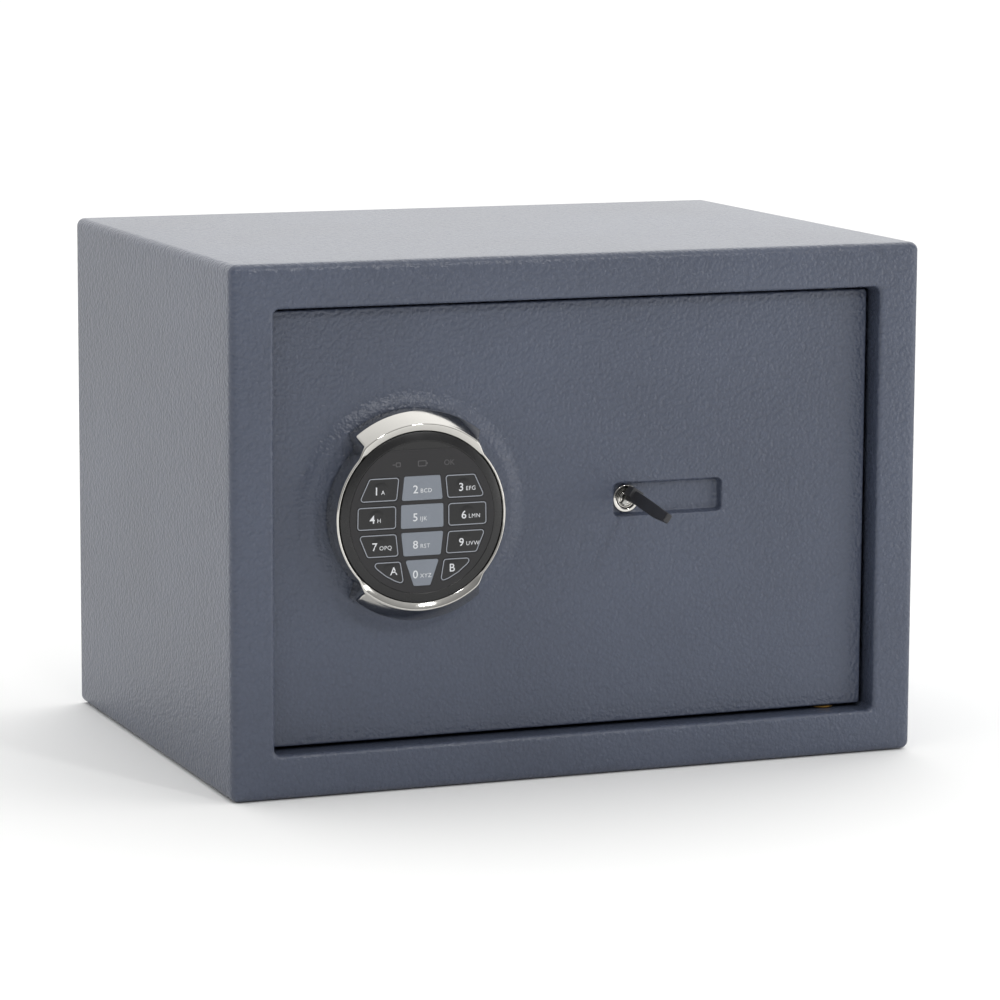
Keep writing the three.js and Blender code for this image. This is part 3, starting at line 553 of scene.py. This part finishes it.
zinc = plated_metal("bright_zinc_plate", "#A9ADB2", "#B5B2A6", 0.34)
# The brass colour is made darker than clean brass to stand for the shade in the gap under the door, where the
# washer shows: painted shade.
brass = plated_metal("drawn_brass", "#8A6C38", "#75592E", 0.42)
PINS = {"bottom": [(0, 16), (4.4, 16), (4.8, 16.4), (4.8, 18.3), (4.5, 18.6), (3, 18.6), (3, 39.4), (2.4, 40),
                   (0, 40)],
        "top": [(0, 210), (2.4, 210), (3, 210.6), (3, 231.4), (4.5, 231.4), (4.8, 231.7), (4.8, 233.6),
                (4.4, 234), (0, 234)]}
for end, profile in PINS.items():
    from_cad(f"hinge_knuckle_{end}", f"hinge_block_{end}", zinc, "door", "zinc_steel", 0.5)
    place_piece(turned(f"pin_{end}", profile, "z", HINGE, 48), zinc, "door", "zinc_steel", f"hinge_pin_{end}")
washer = rounded([(3.3, 21.15), (6, 21.15), (6, 22.15), (3.3, 22.15)], 0.25)
place_piece(turned("brass_washer", washer, "z", HINGE, 64), brass, "root", "brass", "hinge_washer")

# ----------------------------------------------------------------------
# Dial ring. A zinc casting with a mirror chrome plate, turned by its two flat grips, above and
# below. Its floor and hollow spindle are one piece with it; the keypad inside it stays upright.
# ----------------------------------------------------------------------


def mirror_chrome(name):
    """Decorative chrome plate over polished zinc: almost a mirror, a little warm, with a slight
    waviness of the casting, 12 mm long, that bends the reflections."""
    made, tree, shader = blank_material(name, "#C9C7C2", 0.07, 1.0)
    at = object_place(tree)
    gloss = ranged(tree, noise(tree, at, 400.0, 3.0), 0.3, 0.7, 0.05, 0.1)
    finish_shader(tree, shader, None, gloss, noise(tree, at, 80.0, 1.0), 0.2, 0.0003)
    return made


chrome = mirror_chrome("mirror_chrome_plate")
RIM, SEAT = -131.5, -116.6


def grip_share(angle, half_span, blend):
    """1 within half_span of straight up or down, 0 on the plain round part, smooth between."""
    off = np.minimum(np.abs(angle - np.pi / 2), np.abs(angle - 1.5 * np.pi))
    return smooth((half_span + blend / 2 - off) / blend)


def ring_section(foot, crest):
    """Half a cut through the ring: the foot's wall, the grip's slope, the rim, the inner slope, the
    bore, the floor and the hollow spindle, as (radius, y)."""
    corners = [(foot, SEAT), (foot, SEAT - 9.2), (crest + 0.1, RIM + 0.9), (crest - 0.8, RIM),
               (40.4, RIM + 1.2), (40.4, SEAT - 3), (5, SEAT - 3), (5, -93), (7, -93), (7, SEAT)]
    return rounded(corners, [0.3, 0.6, 0.7, 0.6, 0.3, 0.5, 0.5, 0.3, 0.3, 0.3], count=5)


turn = np.linspace(0, 2 * np.pi, 540, endpoint=False)
plain, footed, crested = ring_section(42.2, 42.0), ring_section(49.5, 42.0), ring_section(42.2, 44.4)
foot = grip_share(turn, 0.71, 0.09)[None, :, None]
crest = grip_share(turn, 0.76, 0.18)[None, :, None]
cut = plain[:, None] + foot * (footed - plain)[:, None] + crest * (crested - plain)[:, None]
ring_x, ring_z = cut[..., 0] * np.cos(turn), cut[..., 0] * np.sin(turn)
ring_points = np.stack([DIAL[0] + ring_x, cut[..., 1], DIAL[1] + ring_z], -1)
dial = grid_skin("chrome_dial", ring_points, wrap_rows=True, wrap_columns=True)
place_piece(dial, chrome, "ring", "chrome", "dial_ring")
from_cad("crank", "crank_plate", zinc, "ring", "zinc_steel", 0.3)
clip = rounded([(7.3, -95.2), (9.1, -95.2), (9.1, -94.2), (7.3, -94.2)], 0.15)
place_piece(turned("circlip", clip, "y", DIAL), zinc, "ring", "zinc_steel", "spindle_circlip")
bush = [(7.3, -116.3), (8.3, -116.3), (8.3, -109.7), (11, -109.7), (11, -108), (8.3, -108), (8.3, -106.7),
        (7.3, -106.7)]
place_piece(turned("bronze_bush", rounded(bush, 0.25), "y", DIAL), brass, "door", "brass", "spindle_bush")

# ----------------------------------------------------------------------
# Keypad. A moulded black housing and bevelled front, a printed overlay with a straight top edge,
# and twelve keys in it: eight black ones with a printed outline, and four grey ones down the middle.
# ----------------------------------------------------------------------


def moulded_plastic(name, colour, roughness, grit=1500.0, depth_mm=0.012, lighter=None):
    """ABS from a spark-eroded mould: a fine even grit gives it a satin gloss, and handling leaves
    slightly glossier clouds about 15 mm across."""
    made, tree, shader = blank_material(name, colour, roughness)
    at = object_place(tree)
    clouds = noise(tree, at, 65.0, 2.0)
    gloss = ranged(tree, clouds, 0.3, 0.7, roughness - 0.05, roughness + 0.05)
    tint = blend(tree, clouds, linear(colour), linear(lighter or colour))
    finish_shader(tree, shader, tint, gloss, noise(tree, at, grit, 2.0), 0.5, depth_mm * MM)
    return made


black_abs = moulded_plastic("black_satin_abs", "#111112", 0.27, lighter="#151516")
overlay_film = moulded_plastic("black_overlay_film", "#141316", 0.38, 2200.0, 0.006, "#171619")
key_black = moulded_plastic("black_key_film", "#0E0E10", 0.34, 2200.0, 0.006, "#111113")
key_grey = moulded_plastic("grey_key_film", "#767C85", 0.45, 2200.0, 0.006, "#7C828B")
line_print = moulded_plastic("light_grey_print", "#8C9098", 0.5, 2200.0, 0.004)
digit_print = moulded_plastic("white_print", "#D5D7DA", 0.5, 2200.0, 0.004)
faint_print = moulded_plastic("smoked_print", "#4C4B4D", 0.45, 2200.0, 0.004)

from_cad("keypad_cup", "keypad_housing", black_abs, "door", "black_plastic", 0.25)

ROWS = [((19.6, 8.0), (9.0, 10.3), "123"), ((6.3, -5.1), (10.6, 10.7), "456"),
        ((-6.8, -18.1), (10.6, 9.3), "789"), ((-19.8, -32.3), (8.5, 4.2), "A0B")]
FIELD_R, COLUMN_GAP = 32.8, 1.9
FACE = -131.3


def key_outlines():
    """Each key's corners about the dial's centre. The middle column's half width is given at each
    row's top and bottom; the outer keys run out to a circle."""
    found = {}
    for (top, low), half, labels in ROWS:
        found[labels[1]] = [(-half[0], top), (-half[1], low), (half[1], low), (half[0], top)]
        near = [w + COLUMN_GAP for w in half]
        if "A" in labels:
            sweep = np.linspace(np.arcsin(top / FIELD_R), np.arcsin((low + 0.6) / FIELD_R), 5)
            far = [(FIELD_R * np.cos(t), FIELD_R * np.sin(t)) for t in sweep]
            corners = [(near[0], top), *far]
        else:
            corners = [(near[0], top), (np.sqrt(FIELD_R ** 2 - top ** 2), top),
                       (np.sqrt(FIELD_R ** 2 - low ** 2), low), (near[1], low)]
        found[labels[2]] = corners[::-1]
        found[labels[0]] = [(-x, z) for x, z in corners]
    return found


def moved_in(outline, by):
    """A closed outline moved inwards along its own normals; it runs anticlockwise."""
    along = np.roll(outline, -1, 0) - np.roll(outline, 1, 0)
    along /= np.linalg.norm(along, axis=1)[:, None]
    return outline + by * np.stack([-along[:, 1], along[:, 0]], 1)


def evenly(outline, count):
    """The same closed outline with count points at equal steps along it."""
    loop = np.vstack([outline, outline[:1]])
    run = np.concatenate([[0], np.cumsum(np.linalg.norm(np.diff(loop, axis=0), axis=1))])
    at = np.linspace(0, run[-1], count, endpoint=False)
    return np.stack([np.interp(at, run, loop[:, 0]), np.interp(at, run, loop[:, 1])], 1)


def flat_plate(name, outline, windows, span):
    """A flat plate in the dial's plane: an outline and its windows, filled, from y0 to y1."""
    y0, y1 = span
    drawn = bpy.data.curves.new(name, "CURVE")
    drawn.dimensions, drawn.fill_mode, drawn.extrude = "2D", "BOTH", (y1 - y0) / 2 * MM
    for loop in [outline, *windows]:
        spline = drawn.splines.new("POLY")
        spline.points.add(len(loop) - 1)
        flat = np.zeros((len(loop), 4))
        flat[:, :2], flat[:, 3] = np.array(loop) * MM, 1
        spline.points.foreach_set("co", flat.ravel())
        spline.use_cyclic_u = True
    return laid_on_dial(name, drawn, (y0 + y1) / 2)


def laid_on_dial(name, drawn, y, sink=None):
    """Makes a curve or text a mesh, stands its plane upright in front of the dial's centre at y, and
    adds sink(x, z) to each point's y."""
    mesh = as_built(linked(name, drawn))
    flat = np.empty(len(mesh.vertices) * 3)
    mesh.vertices.foreach_get("co", flat)
    flat = flat.reshape(-1, 3) / MM
    sunk = sink(flat[:, 0], flat[:, 1]) if sink else 0
    upright = np.stack([DIAL[0] + flat[:, 0], y - flat[:, 2] + sunk, DIAL[1] + flat[:, 1]], 1)
    mesh.vertices.foreach_set("co", (upright * MM).ravel())
    return finished(name, mesh)


def print_text(name, text, size, place, y, sink=None, spread=1.0, bolder=0.0, middle=False):
    """Sans-serif print, 0.03 mm thick, with its left end (or its middle) at place, its strokes made
    wider by bolder on each side."""
    drawn = bpy.data.curves.new(name, "FONT")
    drawn.body, drawn.size, drawn.extrude, drawn.resolution_u = text, size * MM, 0.015 * MM, 4
    drawn.align_x, drawn.space_character = "CENTER" if middle else "LEFT", spread
    drawn.offset = bolder * MM
    drawn.offset_x, drawn.offset_y = place[0] * MM, (place[1] - 0.36 * size) * MM
    return laid_on_dial(name, drawn, y - 0.045, sink)


def joined(name, *numbered):
    """Puts several pieces into one mesh; each is given with its material's number, or None to keep
    the numbers that it has."""
    form = bmesh.new()
    for piece, number in numbered:
        start = len(form.faces)
        form.from_mesh(piece.data)
        form.faces.ensure_lookup_table()
        for face in form.faces[start:]:
            if number is not None:
                face.material_index = number
        bpy.data.objects.remove(piece)
    mesh = bpy.data.meshes.new(name)
    form.to_mesh(mesh)
    form.free()
    mesh.set_sharp_from_angle(angle=np.radians(38))
    return linked(name, mesh)


def filleted(corners, radius, count=8):
    """A polygon that runs anticlockwise, each corner rounded by an arc of the given radius: the arc
    starts radius / tan(half the corner's angle) before the corner."""
    corners = np.array(corners, float)
    loop = []
    for before, corner, after in zip(np.roll(corners, 1, 0), corners, np.roll(corners, -1, 0)):
        back = (before - corner) / np.linalg.norm(before - corner)
        ahead = (after - corner) / np.linalg.norm(after - corner)
        half = np.arccos(np.clip(back @ ahead, -1, 1)) / 2
        centre = corner + (back + ahead) / np.linalg.norm(back + ahead) * radius / np.sin(half)
        first = np.arctan2(*(corner + back * radius / np.tan(half) - centre)[::-1])
        turn_by = np.linspace(0, np.pi - 2 * half, count)
        loop.append(centre + radius * np.stack([np.cos(first + turn_by), np.sin(first + turn_by)], 1))
    return np.vstack(loop)


outlines = {label: filleted(corners, 0.9 if label in "2580" else 1.8)
            for label, corners in key_outlines().items()}
round_edge = np.linspace(0, 2 * np.pi, 120, endpoint=False)
disc = np.stack([35.7 * np.cos(round_edge), 35.7 * np.sin(round_edge)], 1)
chord = disc.copy()
chord[:, 1] = np.minimum(chord[:, 1], 32.0)
rim_cut = rounded([(33.3, -130.9), (35.75, -130.9), (35.75, -131.15), (36.1, -131.3), (40.1, -130.6),
                   (40.1, -127.6), (33.3, -127.6)], [0.1, 0.02, 0.1, 0.25, 0.3, 0.3, 0.3])


def box_loop(x0, z0, x1, z1, radius=0.0):
    """A rectangle's corners, rounded where a radius is given."""
    corners = [(x0, z0), (x1, z0), (x1, z1), (x0, z1)]
    return rounded(corners, radius) if radius else corners


# The signs over the keys: OK, a battery with its nub, and a padlock with a key's shank.
signs = [("cell_sign", box_loop(-2.2, 23.9, 2.0, 26.7, 0.5), [box_loop(-1.8, 24.3, 1.6, 26.3, 0.3)]),
         ("cell_nub", box_loop(2.1, 24.8, 2.6, 25.8), []),
         ("lock_sign", box_loop(-13.1, 24.1, -10.7, 26.3, 0.5), [box_loop(-12.7, 24.5, -11.1, 25.9, 0.3)]),
         ("key_sign", box_loop(-14.7, 25.0, -13.2, 25.4), [])]
icons = [(print_text("ok_sign", "OK", 3.6, (13.3, 25.3), FACE, middle=True), 2)]
icons += [(flat_plate(*sign, (FACE - 0.02, FACE + 0.02)), 2) for sign in signs]
keypad_front = joined(
    "keypad_front", (turned("rim", rim_cut, "y", DIAL, 180), 0),
    (flat_plate("underlay", disc, list(outlines.values()), (-131.08, -127.7)), 0),
    (flat_plate("overlay", chord, list(outlines.values()), (FACE, -131.0)), 1), *icons)
place_piece(keypad_front, [black_abs, overlay_film, faint_print], "door", "black_plastic", "keypad_fascia")

LEGENDS = {"1": "A", "2": "BCD", "3": "EFG", "4": "H", "5": "IJK", "6": "LMN", "7": "OPQ", "8": "RST",
           "9": "UVW", "0": "XYZ"}
DIGIT_X = {"1": -24.0, "2": -4.7, "3": 17.9, "4": -26.0, "5": -4.8, "6": 19.3, "7": -24.9, "8": -4.7,
           "9": 18.1, "0": -4.7, "A": -15.9, "B": 13.3}
MARK_Z = {"123": 13.4, "456": 0.3, "789": -12.6, "A0B": -24.4}
for *_, labels in ROWS:
    for label in labels:
        grey = label in "2580"
        edge = evenly(moved_in(outlines[label], 0.1), 96)
        centre = edge.mean(0)

        def dome(x, z):
            """The key's pad rises 0.16 mm over a disc of 4 mm radius, with a soft edge."""
            return -0.16 * (1 - smooth((np.hypot(x - centre[0], z - centre[1]) - 2.4) / 1.9))

        hoops = [(edge, -126.8), (edge, FACE + 0.12), (moved_in(edge, 0.06), FACE + 0.03)]
        hoops += [(moved_in(edge, d), FACE) for d in (0.16, 0.3, 0.75)]
        inner = hoops[-1][0]
        hoops += [(centre + (inner - centre) * s, FACE) for s in np.linspace(0.94, 0, 15)]
        flat = np.array([h for h, _ in hoops])
        y = np.array([np.full(96, level) for _, level in hoops])
        y[3:] += dome(flat[3:, :, 0], flat[3:, :, 1])
        points = np.stack([DIAL[0] + flat[..., 0], y, DIAL[1] + flat[..., 1]], -1)
        back = points[:1].copy()
        back[..., 0], back[..., 2] = DIAL[0] + centre[0], DIAL[1] + centre[1]
        points = np.concatenate([back, points])
        paint = np.zeros(len(points) - 1, int)
        if not grey:
            paint[5] = 1
        tile = grid_skin("tile", points, wrap_columns=True, row_paint=paint)
        mark_z = MARK_Z[labels] - 2.2 * (label == "0")
        marks = [(print_text("mark", label, 5.3, (DIGIT_X[label], mark_z), FACE, dome, bolder=0.04), 2)]
        if label in LEGENDS:
            after = (DIGIT_X[label] + 3.6, mark_z - 0.75)
            marks.append((print_text("legend", LEGENDS[label], 2.75, after, FACE, dome, 1.12), 2))
        key = joined(f"key_{label}", (tile, None), *marks)
        skin = key_grey if grey else key_black
        place_piece(key, [skin, line_print, digit_print], f"pad_{label}",
                    "pad_grey" if grey else "pad_black", f"pad_key_{label}")

# ----------------------------------------------------------------------
# Behind the keypad. Its circuit board, the steel strap and nut that hold it upright through the
# turning spindle, and its round cable, which runs down the hollow stem to the control board.
# ----------------------------------------------------------------------


def circuit_board(name, parts_y=None):
    """Glass-epoxy board under green solder mask, glossy, with copper tracks 0.8 mm wide that show
    through as a lighter green; the parts soldered to it are black and stand above the card."""
    made, tree, shader = blank_material(name, "#17482C", 0.3)
    at = object_place(tree)
    across = add_node(tree, "ShaderNodeMapping", None, {"Vector": at, "Scale": (1.0, 0.0, 1.0)})
    routes = add_node(tree, "ShaderNodeTexBrick", {"offset": 0.5}, {
        "Vector": across.outputs[0], "Scale": 90.0, "Mortar Size": 0.035, "Color1": linear("#17482C"),
        "Color2": linear("#1B5232"), "Mortar": linear("#3C7A4C")})
    colour = routes.outputs["Color"]
    if parts_y is not None:
        y = add_node(tree, "ShaderNodeSeparateXYZ", None, {"Vector": at}).outputs["Y"]
        above_card = maths(tree, "GREATER_THAN", y, parts_y * MM)
        colour = blend(tree, above_card, colour, linear("#1D1D1F"))
    finish_shader(tree, shader, colour)
    return made


def carried_tube(name, route, radius, sides=20):
    """A round tube along a smooth route: (route + radius cos a * side + radius sin a * up), where
    side and up stay square to the route's direction and don't twist about it."""
    route = np.array(route, float)
    run = np.concatenate([[0], np.cumsum(np.linalg.norm(np.diff(route, axis=0), axis=1))])
    ahead = np.gradient(route, run, axis=0)
    at = np.linspace(0, run[-1], 140)
    t = np.clip(np.searchsorted(run, at, "right") - 1, 0, len(run) - 2)
    step = (run[t + 1] - run[t])[:, None]
    s = ((at - run[t]) / step[:, 0])[:, None]
    line = ((2 * s ** 3 - 3 * s ** 2 + 1) * route[t] + (s ** 3 - 2 * s ** 2 + s) * step * ahead[t]
            + (3 * s ** 2 - 2 * s ** 3) * route[t + 1] + (s ** 3 - s ** 2) * step * ahead[t + 1])
    lead = np.gradient(line, axis=0)
    lead /= np.linalg.norm(lead, axis=1)[:, None]
    up = np.tile([0.0, 0.3, 1.0], (len(line), 1))
    side = np.cross(lead, up)
    side /= np.linalg.norm(side, axis=1)[:, None]
    up = np.cross(side, lead)
    a = np.linspace(0, 2 * np.pi, sides, endpoint=False)[None, :, None]
    skin = line[:, None] + radius * (np.cos(a) * side[:, None] + np.sin(a) * up[:, None])
    return grid_skin(name, skin, wrap_columns=True, cap_rows=True)


from_cad("keypad_card", "keypad_board", circuit_board("green_keypad_board"), "door", "circuit_board", 0.15)
from_cad("keypad_strap", "keypad_bracket", zinc, "door", "zinc_steel", 0.3)


def hex_nut(name, flats, bore, span, at, body, *nodes):
    """A hexagon nut: the six-sided radius flats / cos(a), cut back at both faces by a 30 degree cone."""
    low, high = span
    a = np.linspace(0, 2 * np.pi, 96, endpoint=False)
    hexagon = flats / np.cos((a + np.pi / 6) % (np.pi / 3) - np.pi / 6)
    coned = np.minimum(hexagon, flats * 1.02)
    hoops = [(bore, low + 0.4), (bore + 0.4, low), (coned, low), (hexagon, low + 0.7),
             (hexagon, high - 0.7), (coned, high), (bore + 0.4, high), (bore, high - 0.4)]
    points = np.array([np.stack([at[0] + r * np.cos(a), np.full(96, y), at[1] + r * np.sin(a)], -1)
                       for r, y in hoops])
    nut = grid_skin(name, points, wrap_rows=True, wrap_columns=True)
    place_piece(nut, zinc, body, "zinc_steel", *nodes)


hex_nut("stem_hex_nut", 6.9, 4.7, (-83.7, -80.7), DIAL, "door", "stem_nut")
cable_jacket = moulded_plastic("black_pvc_jacket", "#151516", 0.4, 900.0, 0.02)
cable_route = [(-84, -124, 130.5), (-84, -108, 130.5), (-84, -92, 130.5), (-84, -83, 130.5),
               (-82.8, -77.5, 130), (-78, -74.6, 128), (-70, -74.2, 122.5), (-50, -74.2, 112),
               (-15, -74.4, 109), (22, -75.5, 110), (42, -76.5, 119), (50.5, -78, 127.5), (52, -81.5, 130),
               (52, -84.5, 130), (52, -87.4, 130)]
cable = carried_tube("pad_cable", cable_route, 1.6)
place_piece(cable, cable_jacket, "door", "black_plastic", "keypad_cable")

# ----------------------------------------------------------------------
# Boltwork. A zinc plated slide that the crank pin pulls across, two 18 mm steel bolts on it, two
# shouldered guide posts, and the solenoid whose plunger drops into the slide's notch to block it.
# ----------------------------------------------------------------------


def block(name, x, y, z):
    """A plain box between two corners, used as a cutter."""
    gx, gz = np.meshgrid(x, z, indexing="ij")
    near, far = (np.stack([gx, np.full((2, 2), level), gz], -1) for level in y)
    return two_skins(name, near, far)


def taped_winding(name, dark, copper):
    """Enamelled wire under one turn of tape: ridges 0.6 mm apart run round the coil."""
    made, tree, shader = blank_material(name, "#2A1C14", 0.35)
    wire = add_node(tree, "ShaderNodeTexWave", {"bands_direction": "Z"}, {
        "Vector": object_place(tree), "Scale": 520.0, "Distortion": 0.4}).outputs["Fac"]
    finish_shader(tree, shader, blend(tree, wire, linear(dark), linear(copper)), None, wire, 0.8, 0.0003)
    return made


from_cad("bolt_slide", "bolt_bar", zinc, "bolts", "zinc_steel", 0.25)
for level, z in (("upper", 175.0), ("lower", 75.0)):
    bolt = rod(f"round_bolt_{level}", "x", 9, (-148, -106), (-96, z), 1.2, 64)
    bolt = cut_away(bolt, block("seat", (-129.5, -100), (-91.8, -80), (z - 10, z + 10)))
    place_piece(bolt, zinc, "bolts", "zinc_steel", f"bolt_{level}")
    post = [(0, -109.7), (5, -109.7), (5, -91.8), (3, -91.8), (3, -88.2), (5, -88.2), (5, -86.2),
            (0, -86.2)]
    post = rounded(post, [0, 0.4, 0.4, 0.1, 0.1, 0.4, 0.4, 0], closed=False)
    place_piece(turned(f"slide_post_{level}", post, "y", (-100.3, z), 48), zinc, "door", "zinc_steel",
                f"guide_post_{level}")

from_cad("solenoid_yoke", "solenoid_frame", zinc, "door", "zinc_steel", 0.3)
from_cad("solenoid_rod", "solenoid_plunger", zinc, "plunger", "zinc_steel", 0.25)
winding = taped_winding("taped_copper_winding", "#1B1512", "#4A2A1A")
from_cad("solenoid_winding", "solenoid_coil", winding, "door", "black_plastic", 0.4)

# ----------------------------------------------------------------------
# Key lock. A chromed barrel held by a nut behind the pocket, a plug with its keyway, the cam on the
# plug's tail, and the emergency key: a steel blade moulded into a slim black grip.
# ----------------------------------------------------------------------
barrel = rounded([(4.7, -111.0), (5.3, -111.3), (6.7, -111.3), (6.7, -110.1), (5.9, -110.1), (5.9, -90),
                  (4.7, -90)], [0.1, 0.2, 0.5, 0.1, 0.1, 0.3, 0.2])
place_piece(turned("barrel", barrel, "y", LOCK, 96), chrome, "door", "chrome", "lock_barrel")
hex_nut("barrel_nut", 8.2, 6.2, (-107.4, -104.4), LOCK, "door", "lock_nut")
plug = rounded([(0, -111.1), (2.6, -111.1), (3.0, -110.5), (3.7, -110.5), (4.0, -111.1), (4.4, -111.1),
                (4.4, -88), (2.5, -88), (2.5, -84.5), (0, -84.5)],
               [0, 0.2, 0.2, 0.2, 0.1, 0.15, 0.3, 0.1, 0.3, 0], closed=False)
LEAN = np.radians(33.7)  # the keyway leans to the right


def leaned(points):
    """Points drawn upright about the y axis, turned by LEAN and set on the lock's axis."""
    x, y, z = np.moveaxis(points, -1, 0)
    return np.stack([LOCK[0] + x * np.cos(LEAN) + z * np.sin(LEAN), y,
                     LOCK_Z - x * np.sin(LEAN) + z * np.cos(LEAN)], -1)


def boxy(count, power):
    """A rounded box section about 0, from -1 to 1: |cos a| and |sin a| to a power, with their signs."""
    a = np.linspace(0, 2 * np.pi, count, endpoint=False)
    return [np.sign(wave) * np.abs(wave) ** power for wave in (np.cos(a), np.sin(a))]


def leaned_box(name, x, y, z, edge=0.0):
    """A bar along y with a rounded box section, its ends drawn in by edge."""
    wide, high = boxy(48, 0.2)
    cuts = [(y[0], edge), (y[0] + 0.3 * edge, 0.3 * edge), (y[0] + edge, 0), (y[1] - edge, 0), (y[1], edge)]
    loops = [np.stack([np.mean(x) + ((x[1] - x[0]) / 2 - e) * wide, np.full(48, at),
                       np.mean(z) + ((z[1] - z[0]) / 2 - e) * high], -1) for at, e in cuts]
    return grid_skin(name, leaned(np.array(loops)), wrap_columns=True, cap_rows=True)


plug = cut_away(turned("plug_core", plug, "y", LOCK, 72),
                leaned_box("keyway", (-1.3, 1.3), (-113, -93), (-3.4, 3.4)))
place_piece(plug, chrome, "plug", "chrome", "lock_plug")
from_cad("cam", "lock_cam", zinc, "plug", "zinc_steel", 0.3)
from_cad("blade", "key_blade", zinc, "key", "zinc_steel", 0.2)

key_plastic = moulded_plastic("black_nylon_grip", "#2A2A2C", 0.42, 1300.0, 0.02, "#333336")
upper_edge = np.array([(-112.8, 4.2), (-121, 4.9), (-131, 3.9), (-163.6, 0.1)])
lower_edge = np.array([(-112.8, -1.0), (-120, -1.0), (-139, -3.1), (-148, -4.1), (-163.2, -4.4)])


def along_edge(edge, share):
    """The point a given share of the way along an edge, by its own length."""
    run = np.concatenate([[0], np.cumsum(np.linalg.norm(np.diff(edge, axis=0), axis=1))])
    return np.stack([np.interp(share * run[-1], run, edge[:, i]) for i in (0, 1)], 1)


share = np.concatenate([[0.0, 0.003, 0.012], np.linspace(0.03, 0.97, 60), [0.988, 0.997, 1.0]])
draw_in = np.interp(share, [0, 0.003, 0.012, 0.03, 0.97, 0.988, 0.997, 1],
                    [0.7, 0.3, 0.06, 0, 0, 0.06, 0.3, 0.7])
up, low = along_edge(upper_edge, share), along_edge(lower_edge, share)
middle, half = (up + low) / 2, (up - low) / 2
tall = np.linalg.norm(half, axis=1)
box_x, box_h = boxy(64, 0.28)
scale_h = ((tall - draw_in) / tall)[:, None] * box_h
grip = np.stack([(1.6 - draw_in)[:, None] * box_x, middle[:, :1] + half[:, :1] * scale_h,
                 middle[:, 1:] + half[:, 1:] * scale_h], -1)
grip = joined("grip", (grid_skin("grip_blade", leaned(grip), wrap_columns=True, cap_rows=True), 0),
              (leaned_box("shoulder", (-3.2, 3.2), (-119.5, -112.7), (0.9, 5.9), 0.5), 0))
place_piece(grip, key_plastic, "key", "black_plastic", "key_grip")

# ----------------------------------------------------------------------
# Door's inner side. A folded tray round the boltwork and a flat cover on four pan-head screws, both
# powder coated, with the code button, and a sliding lid over the four cells.
# ----------------------------------------------------------------------
from_cad("door_tray", "door_frame", powder_coat, "door", "powder_coat", 0.35)
from_cad("cover_sheet", "inner_cover", powder_coat, "door", "powder_coat", 0.3)
for i, (x, z) in enumerate([(-141, 33), (117, 33), (-141, 217), (117, 217)], 1):
    head = rounded([(0, -80), (1.2, -80), (1.5, -79.6), (1.5, -69.9), (4, -69.9), (3.4, -67.9), (0, -67.6)],
                   [0, 0.1, 0.1, 0.1, 0.5, 0.8, 0], closed=False)
    screw = turned(f"pan_screw_{i}", head, "y", (x, z), 48)
    screw = cut_away(screw, block("slot_1", (x - 2.4, x + 2.4), (-68.7, -66), (z - 0.45, z + 0.45)),
                     block("slot_2", (x - 0.45, x + 0.45), (-68.7, -66), (z - 2.4, z + 2.4)))
    place_piece(screw, zinc, "door", "zinc_steel", f"cover_screw_{i}")

button = rounded([(0, -93.5), (3, -93.5), (3, -78), (4.5, -78), (4.5, -76.5), (3, -76.5), (3, -68.6),
                  (0, -68.6)], [0, 0.3, 0.1, 0.3, 0.3, 0.1, 0.8, 0], closed=False)
red_abs = moulded_plastic("red_abs", "#A8231C", 0.35, lighter="#B02A20")
button = turned("code_button", button, "y", (100, 150), 48)
place_piece(button, red_abs, "reset", "red_plastic", "reset_button")
main_board = circuit_board("green_control_board", -95.2)
from_cad("main_card", "control_board", main_board, "door", "circuit_board", 0.2)
tray_abs = moulded_plastic("black_tray_abs", "#1A1A1C", 0.5, lighter="#202022")
from_cad("cell_tray", "battery_tray", tray_abs, "door", "black_plastic", 0.25)
from_cad("cell_lid", "battery_cover", tray_abs, "battery_lid", "black_plastic", 0.35)
CELL_LONG = 0.0505


def cell_sleeve(name, plus_at, way):
    """A printed shrink sleeve on a steel can: a blue-grey body with a copper band at the plus end
    and bare bright steel at both ends; way is 1 if the plus end is up."""
    made, tree, shader = blank_material(name, "#26384C", 0.28)
    z = add_node(tree, "ShaderNodeSeparateXYZ", None, {"Vector": object_place(tree)}).outputs["Z"]
    # Distance down from the plus end, in cell lengths, so that the bands lie at 2, 30 and 97 percent.
    down = maths(tree, "MULTIPLY_ADD", z, -way / CELL_LONG, way * plus_at * MM / CELL_LONG)
    bands = add_node(tree, "ShaderNodeValToRGB", None, {"Fac": down})
    ramp = bands.color_ramp
    ramp.interpolation = "CONSTANT"
    ramp.elements[0].color = linear("#B9BBBD")
    ramp.elements[1].position, ramp.elements[1].color = 0.02, linear("#A7673A")
    for at, colour in ((0.3, "#26384C"), (0.97, "#B9BBBD")):
        ramp.elements.new(at).color = linear(colour)
    finish_shader(tree, shader, bands.outputs["Color"])
    shader.inputs["Metallic"].default_value = 0.6
    return made


for i in range(4):
    x, up = 75 + (i - 1.5) * 15.2, i % 2 == 0
    can = [(0, 47), (6.2, 47), (7, 47.6), (7, 96.7), (6.4, 97.5), (2.6, 97.5), (2.6, 98.6), (0, 98.7)]
    can = rounded(can, [0, 0.3, 0.4, 0.5, 0.4, 0.1, 0.4, 0], closed=False)
    if not up:
        can = np.stack([can[:, 0], 144.5 - can[:, 1]], 1)[::-1]
    cell = turned(f"cell_{i + 1}", can, "z", (x, -81.8), 56)
    sleeve = cell_sleeve(f"cell_sleeve_{'up' if up else 'down'}_{i}", 97.5 if up else 47.0, 1 if up else -1)
    place_piece(cell, sleeve, "door", "cell_sleeve", f"battery_{i + 1}")
